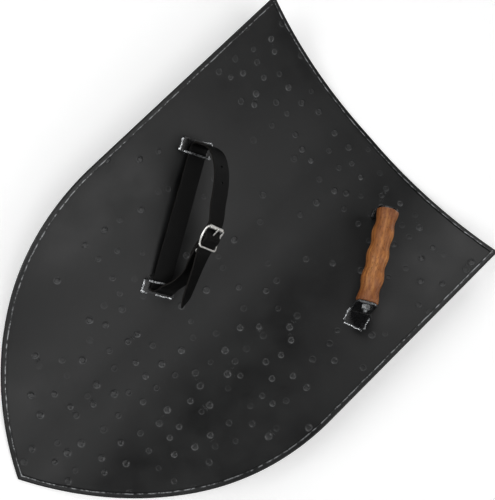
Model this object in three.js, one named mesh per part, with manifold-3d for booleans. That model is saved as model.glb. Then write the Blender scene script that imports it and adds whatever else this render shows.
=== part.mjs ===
// A heater shield, lying on its convex front with its back up, in millimetres and +Z up.
// +Y points to the straight top edge and -Y to the tip. The finger grip is on the +X side
// and the buckled arm belt on the -X side. The grip and the belt slant alike across the
// back, so that the forearm lies square to both.

import * as THREE from 'three';
import { mergeVertices } from 'three/addons/utils/BufferGeometryUtils.js';
import Module from 'manifold-3d';

const { degToRad, lerp, smoothstep } = THREE.MathUtils;
const wasm = await Module();
wasm.setup();

// Sheet: widths are measured along the bent surface
const shieldHeight = 610;
const topHalfWidth = 227;
const shoulderHalfWidth = 218;
const shoulderDepth = 306;
const shoulderRadius = 310;
const shoulderTurn = degToRad(34);
const bendRadius = 338;
const flatHalfWidth = 18;
const sheetThickness = 1.6;
const hemWidth = 6.5;
const hemRise = 1.9;
const hemRounding = 0.7;

// Welded and touching pieces are modelled a hair apart
const seatGap = 0.3;

// Handle: a wooden grip held by a bolt between two angle brackets
const gripFromAxis = 121.3;
const gripFromTop = 123.8;
const gripAngle = degToRad(29.4);
const gripLength = 121;
const gripCrestRadius = 14;
const gripGrooveRadius = 12;
const gripGrooves = 4;
const gripEndRounding = 1.8;
const gripHeight = 48.5;
const boltRadius = 3;
const boltHeadRadius = 5.4;
const nutRadius = 5.6;
const nutLength = 6;
const boltProud = 3.5;
const bracketWidth = 26;
const upperBracketFoot = 15;
const lowerBracketFoot = 22.5;
const bracketThickness = 2.6;
const bracketOverBolt = 9;
const bracketCorner = 9.5;
const lowerFootTurn = degToRad(-13);

// Belt keepers: low angle brackets with a slot for the strap
const beltFromAxis = -96.5;
const beltFromTop = 266.5;
const beltAngle = degToRad(33.5);
const keeperSpacing = 158;
const keeperWidth = 38.5;
const upperKeeperFoot = 19.8;
const lowerKeeperFoot = 16.8;
const keeperThickness = 2.4;
const keeperHeight = 16;
const keeperCorner = 3;
const slotHeight = 8.5;

// Strap and the loop that it makes over the forearm
const strapWidth = 23;
const strapThickness = 2.4;
const skivedThickness = 1.4;
const strapClearance = 1.4;
const strapGap = 0.4;
const foldPastRivets = 8;
const upperBend = 13.5;
const lowerBend = 11;
const loopHeight = 56.9;
const loopLean = degToRad(20);
const buckleLean = degToRad(24);
const tailTwist = degToRad(30);
const tailLength = 88;
const tailPoint = 16;
const tailBlunt = 0.6;
const holeRadius = 1.6;
const holePitch = 19.8;
const openHoles = 2;
const firstHole = 68;

// Buckle: a bent wire frame with a middle bar, a roller and a prong
const wireRadius = 1.35;
const frameClearance = 1;
const frameReach = 13;
const frameBow = 3;
const frameCorner = 3.4;
const rollerFromMiddle = 0.6;
const rollerEndGap = 0.2;
const buckleTilt = degToRad(8);
const buckleTurn = degToRad(-6);
const rollerRadius = 2.6;
const prongRadius = 1.1;
const prongCoilWidth = 3;
const prongRise = 1.3;
const prongPastRoller = 2.2;
const prongOverRoller = 2.3;
const prongClearance = 0.6;
const prongSlotWidth = 5.4;
const rivetRadius = 1.4;
const rivetHeadRadius = 2.5;
const rivetHead = 1;
const rivetFromBar = 19;
const rivetSpread = 8;

// Mesh fineness
const columns = 24;
const straightSteps = 7;
const shoulderSteps = 7;
const lowerSteps = 9;
const stationsPerPoint = 3;

const halfHeight = shieldHeight / 2;
const backRadius = bendRadius - sheetThickness;

const paintedSteel = { color: 0x2e3033, roughness: 0.42, metalness: 0.55 };
const weldedSteel = { color: 0x34363a, roughness: 0.5, metalness: 0.6 };
const brightSteel = { color: 0xc9ccd0, roughness: 0.22, metalness: 1 };
const oiledWood = { color: 0x9a5f35, roughness: 0.55, metalness: 0 };
const blackLeather = { color: 0x151515, roughness: 0.6, metalness: 0 };

function named(name, geometry, look, matrix = new THREE.Matrix4()) {
  const mesh = new THREE.Mesh(geometry, new THREE.MeshStandardMaterial(look));
  mesh.name = name;
  mesh.applyMatrix4(matrix);
  return mesh;
}

// Solids are joined and cut as closed meshes of positions only
function toSolid(geometry) {
  const bare = geometry.clone();
  bare.deleteAttribute('normal');
  bare.deleteAttribute('uv');
  const merged = mergeVertices(bare, 1e-4);
  const vertProperties = new Float32Array(merged.attributes.position.array);
  const triVerts = new Uint32Array(merged.index.array);
  return new wasm.Manifold(new wasm.Mesh({ numProp: 3, vertProperties, triVerts }));
}

function toGeometry(solid) {
  const mesh = solid.getMesh();
  const geometry = new THREE.BufferGeometry();
  geometry.setAttribute('position', new THREE.BufferAttribute(new Float32Array(mesh.vertProperties), 3));
  geometry.setIndex(new THREE.BufferAttribute(new Uint32Array(mesh.triVerts), 1));
  return geometry;
}

function meshFrom(points, triangles) {
  const geometry = new THREE.BufferGeometry();
  geometry.setFromPoints(points);
  geometry.setIndex(triangles);
  return geometry;
}

// Joins two loops of equally many points with a strip of triangles
function strip(first, second) {
  return first.flatMap((a, i) => {
    const next = (i + 1) % first.length;
    return [a, second[i], first[next], first[next], second[i], second[next]];
  });
}

// A point of the sheet: distance from the axis along the bend, place along the axis,
// and height over the front face toward the hollow back
function onSheet(across, along, height) {
  const turn = Math.max(Math.abs(across) - flatHalfWidth, 0) / bendRadius;
  const reach = Math.min(Math.abs(across), flatHalfWidth) + (bendRadius - height) * Math.sin(turn);
  const rise = bendRadius * (1 - Math.cos(turn)) + height * Math.cos(turn);
  return new THREE.Vector3(Math.sign(across) * reach, along, rise);
}

// A frame that sits on the back of the sheet: X across, Y along the grip or belt, Z up from the sheet
function seat(across, along, angle) {
  const turn = (Math.sign(across) * Math.max(Math.abs(across) - flatHalfWidth, 0)) / bendRadius;
  const outward = new THREE.Vector3(Math.cos(turn), 0, Math.sin(turn));
  const upward = new THREE.Vector3(0, 1, 0);
  const normal = new THREE.Vector3().crossVectors(outward, upward);
  return new THREE.Matrix4()
    .makeBasis(outward, upward, normal)
    .setPosition(onSheet(across, along, sheetThickness))
    .multiply(new THREE.Matrix4().makeRotationZ(angle));
}

// Height of the bent sheet over a seat's own flat plane
function sheetRise(angle, across, along) {
  const reach = across * Math.cos(angle) - along * Math.sin(angle);
  return backRadius - Math.sqrt(backRadius ** 2 - reach ** 2);
}

// Slope of the sheet across the belt or grip, at a place along it
function sheetSlope(angle, along) {
  const reach = -along * Math.sin(angle);
  return (reach / Math.sqrt(backRadius ** 2 - reach ** 2)) * Math.cos(angle);
}

// An arc that turns clockwise from a start and a heading, without its start point
function clockwiseArc(start, heading, radius, turn, steps) {
  const centre = new THREE.Vector2(heading.y, -heading.x).multiplyScalar(radius).add(start);
  return Array.from({ length: steps }, (_, i) => start.clone().rotateAround(centre, (-turn * (i + 1)) / steps));
}

// The right-hand edge of the flat sheet, from the top corner down to the tip:
// nearly straight, then a rounded shoulder, then one arc that closes at the tip
function rightEdge() {
  const corner = new THREE.Vector2(topHalfWidth, halfHeight);
  const shoulder = new THREE.Vector2(shoulderHalfWidth, halfHeight - shoulderDepth);
  const tip = new THREE.Vector2(0, -halfHeight);
  const heading = shoulder.clone().sub(corner).normalize();
  const straight = Array.from({ length: straightSteps }, (_, i) => corner.clone().lerp(shoulder, i / straightSteps));
  const round = clockwiseArc(shoulder, heading, shoulderRadius, shoulderTurn, shoulderSteps);
  const start = round.at(-1);
  const lastHeading = heading.clone().rotateAround(new THREE.Vector2(), -shoulderTurn);
  const chord = tip.clone().sub(start);
  const inward = new THREE.Vector2(lastHeading.y, -lastHeading.x);
  const lowerRadius = chord.lengthSq() / (2 * chord.dot(inward));
  const lowerTurn = 2 * Math.asin(chord.length() / (2 * lowerRadius));
  const lower = clockwiseArc(start, lastHeading, lowerRadius, lowerTurn, lowerSteps);
  return [...straight, shoulder, ...round, ...lower];
}

// The whole edge, anticlockwise seen from the back: down the left side, the tip,
// up the right side and back along the top
function outline() {
  const right = rightEdge();
  const left = right.map((p) => new THREE.Vector2(-p.x, p.y));
  const top = Array.from(
    { length: columns - 1 },
    (_, i) => new THREE.Vector2(topHalfWidth * (1 - (2 * (i + 1)) / columns), halfHeight),
  );
  return [...left, ...right.slice(0, -1).reverse(), ...top];
}

// The outline moved inward by a distance, with mitred corners
function inset(points, distance) {
  return points.map((p, i) => {
    const before = points.at(i - 1);
    const after = points[(i + 1) % points.length];
    const first = new THREE.Vector2(before.y - p.y, p.x - before.x).normalize();
    const second = new THREE.Vector2(p.y - after.y, after.x - p.x).normalize();
    const mitre = first.clone().add(second).divideScalar(1 + first.dot(second));
    return mitre.multiplyScalar(distance).add(p);
  });
}

// The sheet with its edge folded back on itself as a flat hem
function shieldPlate() {
  const edge = outline();
  const rows = rightEdge().length - 1;
  const inner = inset(edge, hemWidth);
  const points = [];
  const triangles = [];

  const face = (height, flip) => {
    const first = points.length;
    for (let row = 0; row < rows; row++) {
      const left = inner[row];
      const right = inner[2 * rows - row];
      for (let column = 0; column <= columns; column++) {
        const flat = left.clone().lerp(right, column / columns);
        points.push(onSheet(flat.x, flat.y, height));
      }
    }
    const tip = points.length;
    points.push(onSheet(inner[rows].x, inner[rows].y, height));
    const at = (row, column) => (row === rows ? tip : first + row * (columns + 1) + column);
    for (let row = 0; row < rows; row++) {
      for (let column = 0; column < columns; column++) {
        const corners = [at(row, column), at(row + 1, column), at(row + 1, column + 1), at(row, column + 1)];
        const [a, b, c, d] = flip ? corners.toReversed() : corners;
        if (a !== b && b !== c) triangles.push(a, b, c);
        if (c !== d && d !== a) triangles.push(a, c, d);
      }
    }
    const side = (column) => Array.from({ length: rows }, (_, row) => at(row, column));
    const top = Array.from({ length: columns - 1 }, (_, i) => at(0, columns - 1 - i));
    return [...side(0), tip, ...side(columns).reverse(), ...top];
  };

  const loop = (distance, height) => {
    const first = points.length;
    inset(edge, distance).forEach((p) => points.push(onSheet(p.x, p.y, height)));
    return edge.map((_, i) => first + i);
  };

  const hemTop = sheetThickness + hemRise;
  const back = face(sheetThickness, false);
  const front = face(0, true);
  const section = [
    back,
    loop(hemWidth, hemTop - hemRounding),
    loop(hemWidth - hemRounding, hemTop),
    loop(hemRounding, hemTop),
    loop(0, hemTop - hemRounding),
    loop(0, hemRounding),
    loop(hemRounding, 0),
    front,
  ];
  section.slice(1).forEach((next, i) => triangles.push(...strip(section[i], next)));
  return meshFrom(points, triangles);
}

// The foot of an angle bracket, bent to lie on the sheet and turned about the bracket's bend
function bracketPad(width, length, thickness, angle, inside, side, turn = 0) {
  const pad = new THREE.BoxGeometry(width, length, thickness, 6, 3, 1);
  pad.translate(0, (side * length) / 2, 0).rotateZ(turn).translate(0, side * inside, 0);
  const place = pad.attributes.position;
  for (let i = 0; i < place.count; i++) {
    const rise = sheetRise(angle, place.getX(i), place.getY(i));
    place.setZ(i, place.getZ(i) + thickness / 2 + seatGap + rise);
  }
  return toSolid(pad);
}

// The upright of an angle bracket: an outline in its own plane, given its thickness outward
function bracketLeg(shape, thickness, inside, side) {
  const leg = new THREE.ExtrudeGeometry(shape, { depth: thickness, bevelEnabled: false, curveSegments: 8 });
  leg.rotateX(Math.PI / 2);
  leg.translate(0, side > 0 ? inside + thickness : -inside, 0);
  return toSolid(leg);
}

// An upright with rounded top corners whose lower edge follows the sheet
function legShape(width, top, corner, base) {
  const half = width / 2;
  const shape = new THREE.Shape();
  shape.moveTo(-half, base(-half));
  shape.lineTo(half, base(half));
  shape.lineTo(half, top(half) - corner);
  shape.quadraticCurveTo(half, top(half), half - corner, top(half - corner));
  shape.lineTo(corner - half, top(corner - half));
  shape.quadraticCurveTo(-half, top(-half), -half, top(-half) - corner);
  shape.closePath();
  return shape;
}

function handleBracket(side) {
  const inside = gripLength / 2 + seatGap;
  const place = side * (inside + bracketThickness / 2);
  const base = (across) => sheetRise(gripAngle, across, place) + seatGap + bracketThickness / 2;
  const shape = legShape(bracketWidth, () => gripHeight + bracketOverBolt, bracketCorner, base);
  const hole = new THREE.Path();
  hole.absarc(0, gripHeight, boltRadius + seatGap, 0, 2 * Math.PI, true);
  shape.holes.push(hole);
  const leg = bracketLeg(shape, bracketThickness, inside, side);
  const foot = side > 0 ? upperBracketFoot : lowerBracketFoot;
  const turn = side > 0 ? 0 : lowerFootTurn;
  const pad = bracketPad(bracketWidth, foot, bracketThickness, gripAngle, inside, side, turn);
  const bracket = leg.add(pad);
  return toGeometry(side > 0 ? bracket.subtract(boltHead(seatGap, seatGap)) : bracket);
}

function beltKeeper(side) {
  const inside = keeperSpacing / 2;
  const length = side > 0 ? upperKeeperFoot : lowerKeeperFoot;
  const place = side * (inside + keeperThickness / 2);
  const sheet = (across) => sheetRise(beltAngle, across, place);
  const shape = legShape(
    keeperWidth,
    (across) => sheet(across) + keeperHeight,
    keeperCorner,
    (across) => sheet(across) + seatGap + keeperThickness / 2,
  );
  const halfSlot = strapWidth / 2 + strapClearance;
  const halfOpen = strapThickness / 2 + strapClearance;
  const slot = new THREE.Path();
  slot.moveTo(-halfSlot, sheet(-halfSlot) + slotHeight - halfOpen);
  slot.lineTo(-halfSlot, sheet(-halfSlot) + slotHeight + halfOpen);
  slot.lineTo(halfSlot, sheet(halfSlot) + slotHeight + halfOpen);
  slot.lineTo(halfSlot, sheet(halfSlot) + slotHeight - halfOpen);
  slot.closePath();
  shape.holes.push(slot);
  const leg = bracketLeg(shape, keeperThickness, inside, side);
  return toGeometry(leg.add(bracketPad(keeperWidth, length, keeperThickness, beltAngle, inside, side)));
}

// The turned grip: a row of finger grooves between crests, bored for the bolt
function grip() {
  const stepsPerGroove = 6;
  const half = gripLength / 2;
  const bore = boltRadius + seatGap;
  const profile = [new THREE.Vector2(bore, -half), new THREE.Vector2(gripCrestRadius - gripEndRounding, -half)];
  for (let i = 0; i <= gripGrooves * stepsPerGroove; i++) {
    const wave = (1 + Math.cos((2 * Math.PI * i) / stepsPerGroove)) / 2;
    const radius = gripGrooveRadius + (gripCrestRadius - gripGrooveRadius) * wave;
    const reach = half - gripEndRounding;
    profile.push(new THREE.Vector2(radius, -reach + (2 * reach * i) / (gripGrooves * stepsPerGroove)));
  }
  profile.push(new THREE.Vector2(gripCrestRadius - gripEndRounding, half), new THREE.Vector2(bore, half));
  profile.push(profile[0].clone());
  return new THREE.LatheGeometry(profile, 20).translate(0, 0, gripHeight);
}

// The bolt's sunk head lies flush with the outside of the upper bracket
function boltHead(clearance, proud) {
  const depth = bracketThickness - seatGap;
  const outside = gripLength / 2 + seatGap + bracketThickness;
  const cone = new THREE.CylinderGeometry(boltHeadRadius + clearance, boltRadius + clearance, depth, 20);
  const rim = new THREE.CylinderGeometry(boltHeadRadius + clearance, boltHeadRadius + clearance, proud, 20);
  cone.translate(0, outside - depth / 2, gripHeight);
  rim.translate(0, outside + proud / 2, gripHeight);
  return proud > 0 ? toSolid(cone).add(toSolid(rim)) : toSolid(cone);
}

function handleBolt() {
  const start = gripLength / 2 + seatGap + bracketThickness / 2;
  const end = gripLength / 2 + 2 * seatGap + bracketThickness + nutLength + boltProud;
  const rod = new THREE.CylinderGeometry(boltRadius, boltRadius, start + end, 14);
  rod.translate(0, (start - end) / 2, gripHeight);
  return toGeometry(toSolid(rod).add(boltHead(0, 0)));
}

function handleNut() {
  const bearing = gripLength / 2 + seatGap + bracketThickness + seatGap;
  const nut = new THREE.CylinderGeometry(nutRadius, nutRadius, nutLength, 6);
  const bore = new THREE.CylinderGeometry(boltRadius + seatGap, boltRadius + seatGap, nutLength * 2, 14);
  const place = -bearing - nutLength / 2;
  return toGeometry(toSolid(nut).subtract(toSolid(bore))).translate(0, place, gripHeight);
}

// Where the strap passes the keepers, over the belt seat's own flat plane
const slotPlace = keeperSpacing / 2 + keeperThickness / 2;
const slotLevel = sheetRise(beltAngle, 0, slotPlace) + slotHeight;

// How the buckle lies in the loop before the loop leans over: X across the strap,
// Y back along it from the middle bar toward the roller, Z out of its face
const buckleInLoop = new THREE.Matrix4()
  .makeTranslation(0, rollerFromMiddle, slotLevel + loopHeight)
  .multiply(new THREE.Matrix4().makeRotationZ(buckleTurn))
  .multiply(new THREE.Matrix4().makeRotationX(buckleTilt))
  .multiply(new THREE.Matrix4().makeTranslation(0, -frameReach, 0));
const buckleAcross = new THREE.Vector3().setFromMatrixColumn(buckleInLoop, 0);
const buckleSeat = new THREE.Matrix4().makeRotationY(buckleLean).multiply(buckleInLoop);

// A place by the buckle: distance past the middle bar toward the strap's tail, and height over the bar
function byBuckle(past, over) {
  return new THREE.Vector3(0, -past, over).applyMatrix4(buckleInLoop);
}

// Heights over the buckle's middle bar at which the layers of the strap pass it
const foldRadius = wireRadius + seatGap + skivedThickness / 2;
const overBar = foldRadius + skivedThickness / 2 + strapThickness / 2 + strapGap;
const underRoller = frameBow - rollerRadius - strapThickness / 2 - strapGap;
const underEndBar = frameBow - wireRadius - strapThickness / 2 - strapGap;
const rivetLevel = underEndBar - strapThickness - rivetHead - 3 * strapGap;

// The strap's middle line, seen from its side: along the belt, and height over the belt's seat.
// It runs from the folded end round the bar, down to the lower keeper, taut over the sheet,
// out of the upper keeper, over the forearm and through the buckle to its pointed tail.
function strapLine() {
  // Places by a keeper: shares of a bend's or the loop's size past its slot and over it
  const keeper = (side, shares, size) =>
    shares.map(([along, over]) => new THREE.Vector3(0, side * (slotPlace + along * size), slotLevel + over * size));

  // Directions from the bar's middle, in degrees, in which the fold goes round it
  const fold = [-80, -110, -145, -180, -215, -250, -278].map((degrees) => {
    const turn = degToRad(degrees);
    return byBuckle(foldRadius * Math.cos(turn), foldRadius * Math.sin(turn));
  });
  const layer = (strapThickness + skivedThickness) / 2 + strapGap;
  const foldEnd = rivetFromBar + foldPastRivets;
  const folded = [
    byBuckle(foldEnd, rivetLevel - layer - wireRadius / 2),
    byBuckle(rivetFromBar, rivetLevel - layer),
    byBuckle(frameReach, rivetLevel - layer + wireRadius / 2),
    byBuckle(0.4 * frameReach, -foldRadius - wireRadius),
    ...fold,
    byBuckle(0.25 * frameReach, foldRadius - 0.75 * wireRadius),
    byBuckle(0.5 * frameReach, foldRadius - 2.1 * wireRadius),
    byBuckle(frameReach, rivetLevel + 0.8 * wireRadius),
    byBuckle(rivetFromBar, rivetLevel),
    byBuckle(foldEnd, rivetLevel - wireRadius / 2),
  ];
  const rising = keeper(-1, [[-0.4, 0.65], [-0.14, 0.43], [0.05, 0.27]], loopHeight);
  const lower = keeper(-1, [[0.88, 1], [1, 0.58], [0.86, 0.2], [0.5, 0.03], [0, 0]], lowerBend);
  const taut = keeper(-1, [[-0.5, 0], [-1, 0]], slotPlace);
  const upper = keeper(1, [[-0.5, 0], [0, 0]], slotPlace);
  const turning = keeper(1, [[0.45, 0.02], [0.82, 0.2], [1, 0.6], [1.02, 1.1]], upperBend);
  const arching = [[0.17, 0.5], [0.045, 0.66], [-0.19, 0.83], [-0.4, 0.92], [-0.68, 0.98], [-0.99, 1.01]];
  const over = [
    byBuckle(-1.65 * frameReach, underRoller - 0.2 * wireRadius),
    byBuckle(-1.15 * frameReach, underRoller),
    byBuckle(-0.8 * frameReach, underRoller),
    byBuckle(-0.5 * frameReach, (underRoller + overBar) / 2 - 0.6 * wireRadius),
    byBuckle(0, overBar),
    byBuckle(0.5 * frameReach, (underEndBar + overBar) / 2 + wireRadius / 3),
    byBuckle(frameReach, underEndBar),
    byBuckle(0.23 * tailLength, underEndBar),
    byBuckle(0.42 * tailLength, underEndBar + 0.02 * tailLength),
    byBuckle(0.84 * tailLength, underEndBar + 0.06 * tailLength),
    byBuckle(tailLength, underEndBar + 0.06 * tailLength),
  ];
  const before = [...folded, ...rising, ...lower, ...taut, ...upper, ...turning, ...keeper(1, arching, loopHeight)];
  const line = [...before, ...over];
  return {
    line,
    foldedFrom: folded.length - 6,
    foldedTo: folded.length - 1,
    loopTo: before.length,
    barAt: before.length + 4,
    tailFrom: before.length + 6,
  };
}

// Cross-sections along the strap: where its middle is, how it leans and twists, how wide and thick it is
function strapStations() {
  const { line, foldedFrom, foldedTo, loopTo, tailFrom } = strapLine();
  const curve = new THREE.CatmullRomCurve3(line, false, 'centripetal');
  const spans = line.length - 1;
  const count = spans * stationsPerPoint;
  return Array.from({ length: count + 1 }, (_, i) => {
    const t = i / count;
    const point = curve.getPoint(t);
    const ahead = curve.getTangent(t);
    const place = t * spans;
    const raised = smoothstep(point.z - slotLevel, 0.04 * loopHeight, 0.46 * loopHeight);
    const leaning = smoothstep(slotPlace - point.y, 0.6 * slotPlace, slotPlace);
    const turned = 1 - smoothstep(place, foldedTo, foldedTo + 3) + smoothstep(place, loopTo - 3, loopTo + 1);
    const across = new THREE.Vector3(1, 0, 0).lerp(buckleAcross, turned);
    across.addScaledVector(ahead, -across.dot(ahead)).normalize();
    const lying = -Math.atan(sheetSlope(beltAngle, THREE.MathUtils.clamp(point.y, -slotPlace, slotPlace)));
    const full = smoothstep(place, foldedFrom, foldedFrom + 4);
    const tail = smoothstep(place, tailFrom, spans);
    const left = point.distanceTo(curve.getPoint(1));
    const pointed = place > tailFrom ? Math.min(1, (left + tailBlunt) / tailPoint) : 1;
    return {
      middle: point,
      across,
      normal: new THREE.Vector3().crossVectors(across, ahead),
      lean: lerp(lying, lerp(loopLean, buckleLean, leaning), raised),
      twist: tailTwist * tail,
      halfWidth: (strapWidth / 2) * Math.sin((pointed * Math.PI) / 2),
      halfThickness: lerp(skivedThickness, strapThickness, full) / 2,
    };
  });
}

// A point of a station, given across the strap and out of its face
function inStation(station, across, out) {
  return station.middle
    .clone()
    .addScaledVector(station.normal, out + across * Math.sin(station.twist))
    .addScaledVector(station.across, across * Math.cos(station.twist))
    .applyAxisAngle(new THREE.Vector3(0, 1, 0), station.lean);
}

function armBelt() {
  const stations = strapStations();
  const points = stations.flatMap((station) => {
    const { halfWidth, halfThickness } = station;
    return [
      inStation(station, -halfWidth, -halfThickness),
      inStation(station, halfWidth, -halfThickness),
      inStation(station, halfWidth, halfThickness),
      inStation(station, -halfWidth, halfThickness),
    ];
  });
  const triangles = [0, 1, 2, 0, 2, 3];
  for (let i = 0; i < stations.length - 1; i++) {
    const ring = [0, 1, 2, 3].map((corner) => 4 * i + corner);
    triangles.push(...strip(ring, ring.map((corner) => corner + 4)));
  }
  const last = 4 * (stations.length - 1);
  triangles.push(last, last + 2, last + 1, last, last + 3, last + 2);
  let strap = toSolid(meshFrom(points, triangles));
  [prongSlot(), prongTunnel(), ...rivetSides.map(rivetHole), ...strapHoles(stations)].forEach((cut) => {
    strap = strap.subtract(cut);
  });
  return toGeometry(strap);
}

// The open holes before the buckle, counted back along the strap from its middle bar
function strapHoles(stations) {
  const { barAt } = strapLine();
  const holes = [];
  let travelled = 0;
  for (let i = barAt * stationsPerPoint; holes.length < openHoles; i--) {
    const step = stations[i].middle.distanceTo(stations[i - 1].middle);
    const wanted = firstHole + holes.length * holePitch - travelled;
    travelled += step;
    if (wanted > step) continue;
    const place = stations[i].middle.clone().lerp(stations[i - 1].middle, wanted / step);
    const station = { ...stations[i], middle: place };
    const axis = inStation(station, 0, 1).sub(inStation(station, 0, 0));
    const cutter = new THREE.CylinderGeometry(holeRadius, holeRadius, strapThickness * 3, 10);
    cutter.applyQuaternion(new THREE.Quaternion().setFromUnitVectors(new THREE.Vector3(0, 1, 0), axis));
    cutter.translate(...inStation(station, 0, 0).toArray());
    holes.push(toSolid(cutter));
  }
  return holes;
}

// The slot in the folded end that the prong swings in
function prongSlot() {
  const reach = foldRadius + skivedThickness / 2 + strapGap / 2;
  const slot = new THREE.CylinderGeometry(reach, reach, prongSlotWidth, 16).rotateZ(Math.PI / 2);
  return toSolid(slot.applyMatrix4(buckleSeat));
}

// The prong leaves the bar, comes up through the strap and lies on the roller
const prongStart = new THREE.Vector3(0, foldRadius - seatGap, prongRise);
const prongTop = frameBow + rollerRadius + prongRadius + prongOverRoller;
const prongEnd = new THREE.Vector3(0, frameReach + prongPastRoller, prongTop);

function alongProng(geometry) {
  const heading = prongEnd.clone().sub(prongStart).normalize();
  geometry.applyQuaternion(new THREE.Quaternion().setFromUnitVectors(new THREE.Vector3(0, 1, 0), heading));
  return geometry.translate(...prongStart.clone().lerp(prongEnd, 0.5).toArray());
}

function prongTunnel() {
  const length = prongStart.distanceTo(prongEnd);
  const width = 2 * (prongRadius + prongClearance);
  return toSolid(alongProng(new THREE.BoxGeometry(width, length, width)).applyMatrix4(buckleSeat));
}

function buckleProng() {
  const length = prongStart.distanceTo(prongEnd);
  const shaft = alongProng(new THREE.CylinderGeometry(0.75 * prongRadius, prongRadius, length, 10));
  const inner = wireRadius + seatGap;
  const outer = foldRadius + skivedThickness / 2;
  const half = prongCoilWidth / 2;
  const ring = new THREE.LatheGeometry(
    [[inner, -half], [outer, -half], [outer, half], [inner, half], [inner, -half]].map((p) => new THREE.Vector2(...p)),
    16,
  ).rotateZ(Math.PI / 2);
  return toGeometry(toSolid(ring).add(toSolid(shaft))).applyMatrix4(buckleSeat);
}

// The wire frame bows up at both ends and is joined by the middle bar
function buckleFrame() {
  const halfWide = strapWidth / 2 + frameClearance + wireRadius;
  const path = new THREE.Path();
  path.moveTo(halfWide, 0);
  path.lineTo(halfWide, frameReach - frameCorner);
  path.absarc(halfWide - frameCorner, frameReach - frameCorner, frameCorner, 0, Math.PI / 2, false);
  path.lineTo(frameCorner - halfWide, frameReach);
  path.absarc(frameCorner - halfWide, frameReach - frameCorner, frameCorner, Math.PI / 2, Math.PI, false);
  path.lineTo(-halfWide, frameCorner - frameReach);
  path.absarc(frameCorner - halfWide, frameCorner - frameReach, frameCorner, Math.PI, 1.5 * Math.PI, false);
  path.lineTo(halfWide - frameCorner, -frameReach);
  path.absarc(halfWide - frameCorner, frameCorner - frameReach, frameCorner, 1.5 * Math.PI, 2 * Math.PI, false);
  path.closePath();
  const flat = path.getPoints(4).filter((p, i, all) => i === 0 || p.distanceTo(all[i - 1]) > 0.01);
  if (flat[0].distanceTo(flat.at(-1)) < 0.01) flat.pop();
  const bow = (p) => new THREE.Vector3(p.x, p.y, frameBow * Math.min(1, Math.abs(p.y) / (frameReach - 1)) ** 2);
  const sides = 8;
  const points = flat.flatMap((p, i) => {
    const before = bow(flat.at(i - 1));
    const after = bow(flat[(i + 1) % flat.length]);
    const ahead = after.clone().sub(before).normalize();
    const outward = new THREE.Vector3().crossVectors(ahead, new THREE.Vector3(0, 0, 1)).normalize();
    const upward = new THREE.Vector3().crossVectors(outward, ahead);
    return Array.from({ length: sides }, (_, k) => {
      const turn = (2 * Math.PI * k) / sides;
      return bow(p)
        .addScaledVector(outward, wireRadius * Math.cos(turn))
        .addScaledVector(upward, wireRadius * Math.sin(turn));
    });
  });
  const ring = (i) => Array.from({ length: sides }, (_, k) => (i % flat.length) * sides + k);
  const triangles = flat.flatMap((_, i) => strip(ring(i), ring(i + 1)));
  const bar = new THREE.CylinderGeometry(wireRadius, wireRadius, 2 * halfWide, 12).rotateZ(Math.PI / 2);
  return toGeometry(toSolid(meshFrom(points, triangles)).add(toSolid(bar))).applyMatrix4(buckleSeat);
}

// The roller turns on the bar that the strap pulls on
function buckleRoller() {
  const inner = wireRadius + seatGap;
  const half = strapWidth / 2 + frameClearance + wireRadius - frameCorner - rollerEndGap;
  const profile = [[inner, -half], [rollerRadius, -half], [rollerRadius, half], [inner, half], [inner, -half]];
  const roller = new THREE.LatheGeometry(profile.map((p) => new THREE.Vector2(...p)), 18).rotateZ(Math.PI / 2);
  return roller.translate(0, frameReach, frameBow).applyMatrix4(buckleSeat);
}

// Two rivets side by side hold the folded end to the strap
const rivetSides = [-1, 1];
const rivetTop = rivetLevel + strapThickness / 2;
const rivetFoot = rivetTop - strapThickness - skivedThickness - strapGap;

function rivetPlace(side, geometry) {
  geometry.rotateX(Math.PI / 2);
  return geometry.translate(side * rivetSpread, -rivetFromBar, 0).applyMatrix4(buckleSeat);
}

function rivetHole(side) {
  const length = rivetTop - rivetFoot + 2 * strapGap;
  const hole = new THREE.CylinderGeometry(rivetRadius + seatGap, rivetRadius + seatGap, length, 12);
  return toSolid(rivetPlace(side, hole.translate(0, (rivetTop + rivetFoot) / 2, 0)));
}

function beltRivet(side) {
  const edge = rivetHeadRadius;
  const top = rivetTop + strapGap;
  const foot = rivetFoot - strapGap;
  const profile = [
    [0, foot - rivetHead], [0.7 * edge, foot - rivetHead], [edge, foot - rivetHead / 2], [edge, foot],
    [rivetRadius, foot], [rivetRadius, top],
    [edge, top], [edge, top + rivetHead / 2], [0.7 * edge, top + rivetHead], [0, top + rivetHead],
  ];
  return rivetPlace(side, new THREE.LatheGeometry(profile.map((p) => new THREE.Vector2(...p)), 12));
}

const gripSeat = seat(gripFromAxis, halfHeight - gripFromTop, gripAngle);
const beltSeat = seat(beltFromAxis, halfHeight - beltFromTop, beltAngle);

const shield = new THREE.Group();
shield.add(
  named('shield_plate', shieldPlate(), paintedSteel),
  named('handle_bracket_upper', handleBracket(1), weldedSteel, gripSeat),
  named('handle_bracket_lower', handleBracket(-1), weldedSteel, gripSeat),
  named('grip', grip(), oiledWood, gripSeat),
  named('handle_bolt', handleBolt(), brightSteel, gripSeat),
  named('handle_nut', handleNut(), brightSteel, gripSeat),
  named('belt_keeper_upper', beltKeeper(1), weldedSteel, beltSeat),
  named('belt_keeper_lower', beltKeeper(-1), weldedSteel, beltSeat),
  named('arm_belt', armBelt(), blackLeather, beltSeat),
  named('buckle_frame', buckleFrame(), brightSteel, beltSeat),
  named('buckle_roller', buckleRoller(), brightSteel, beltSeat),
  named('buckle_prong', buckleProng(), brightSteel, beltSeat),
  named('belt_rivet_left', beltRivet(-1), brightSteel, beltSeat),
  named('belt_rivet_right', beltRivet(1), brightSteel, beltSeat),
);

export default shield;
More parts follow.
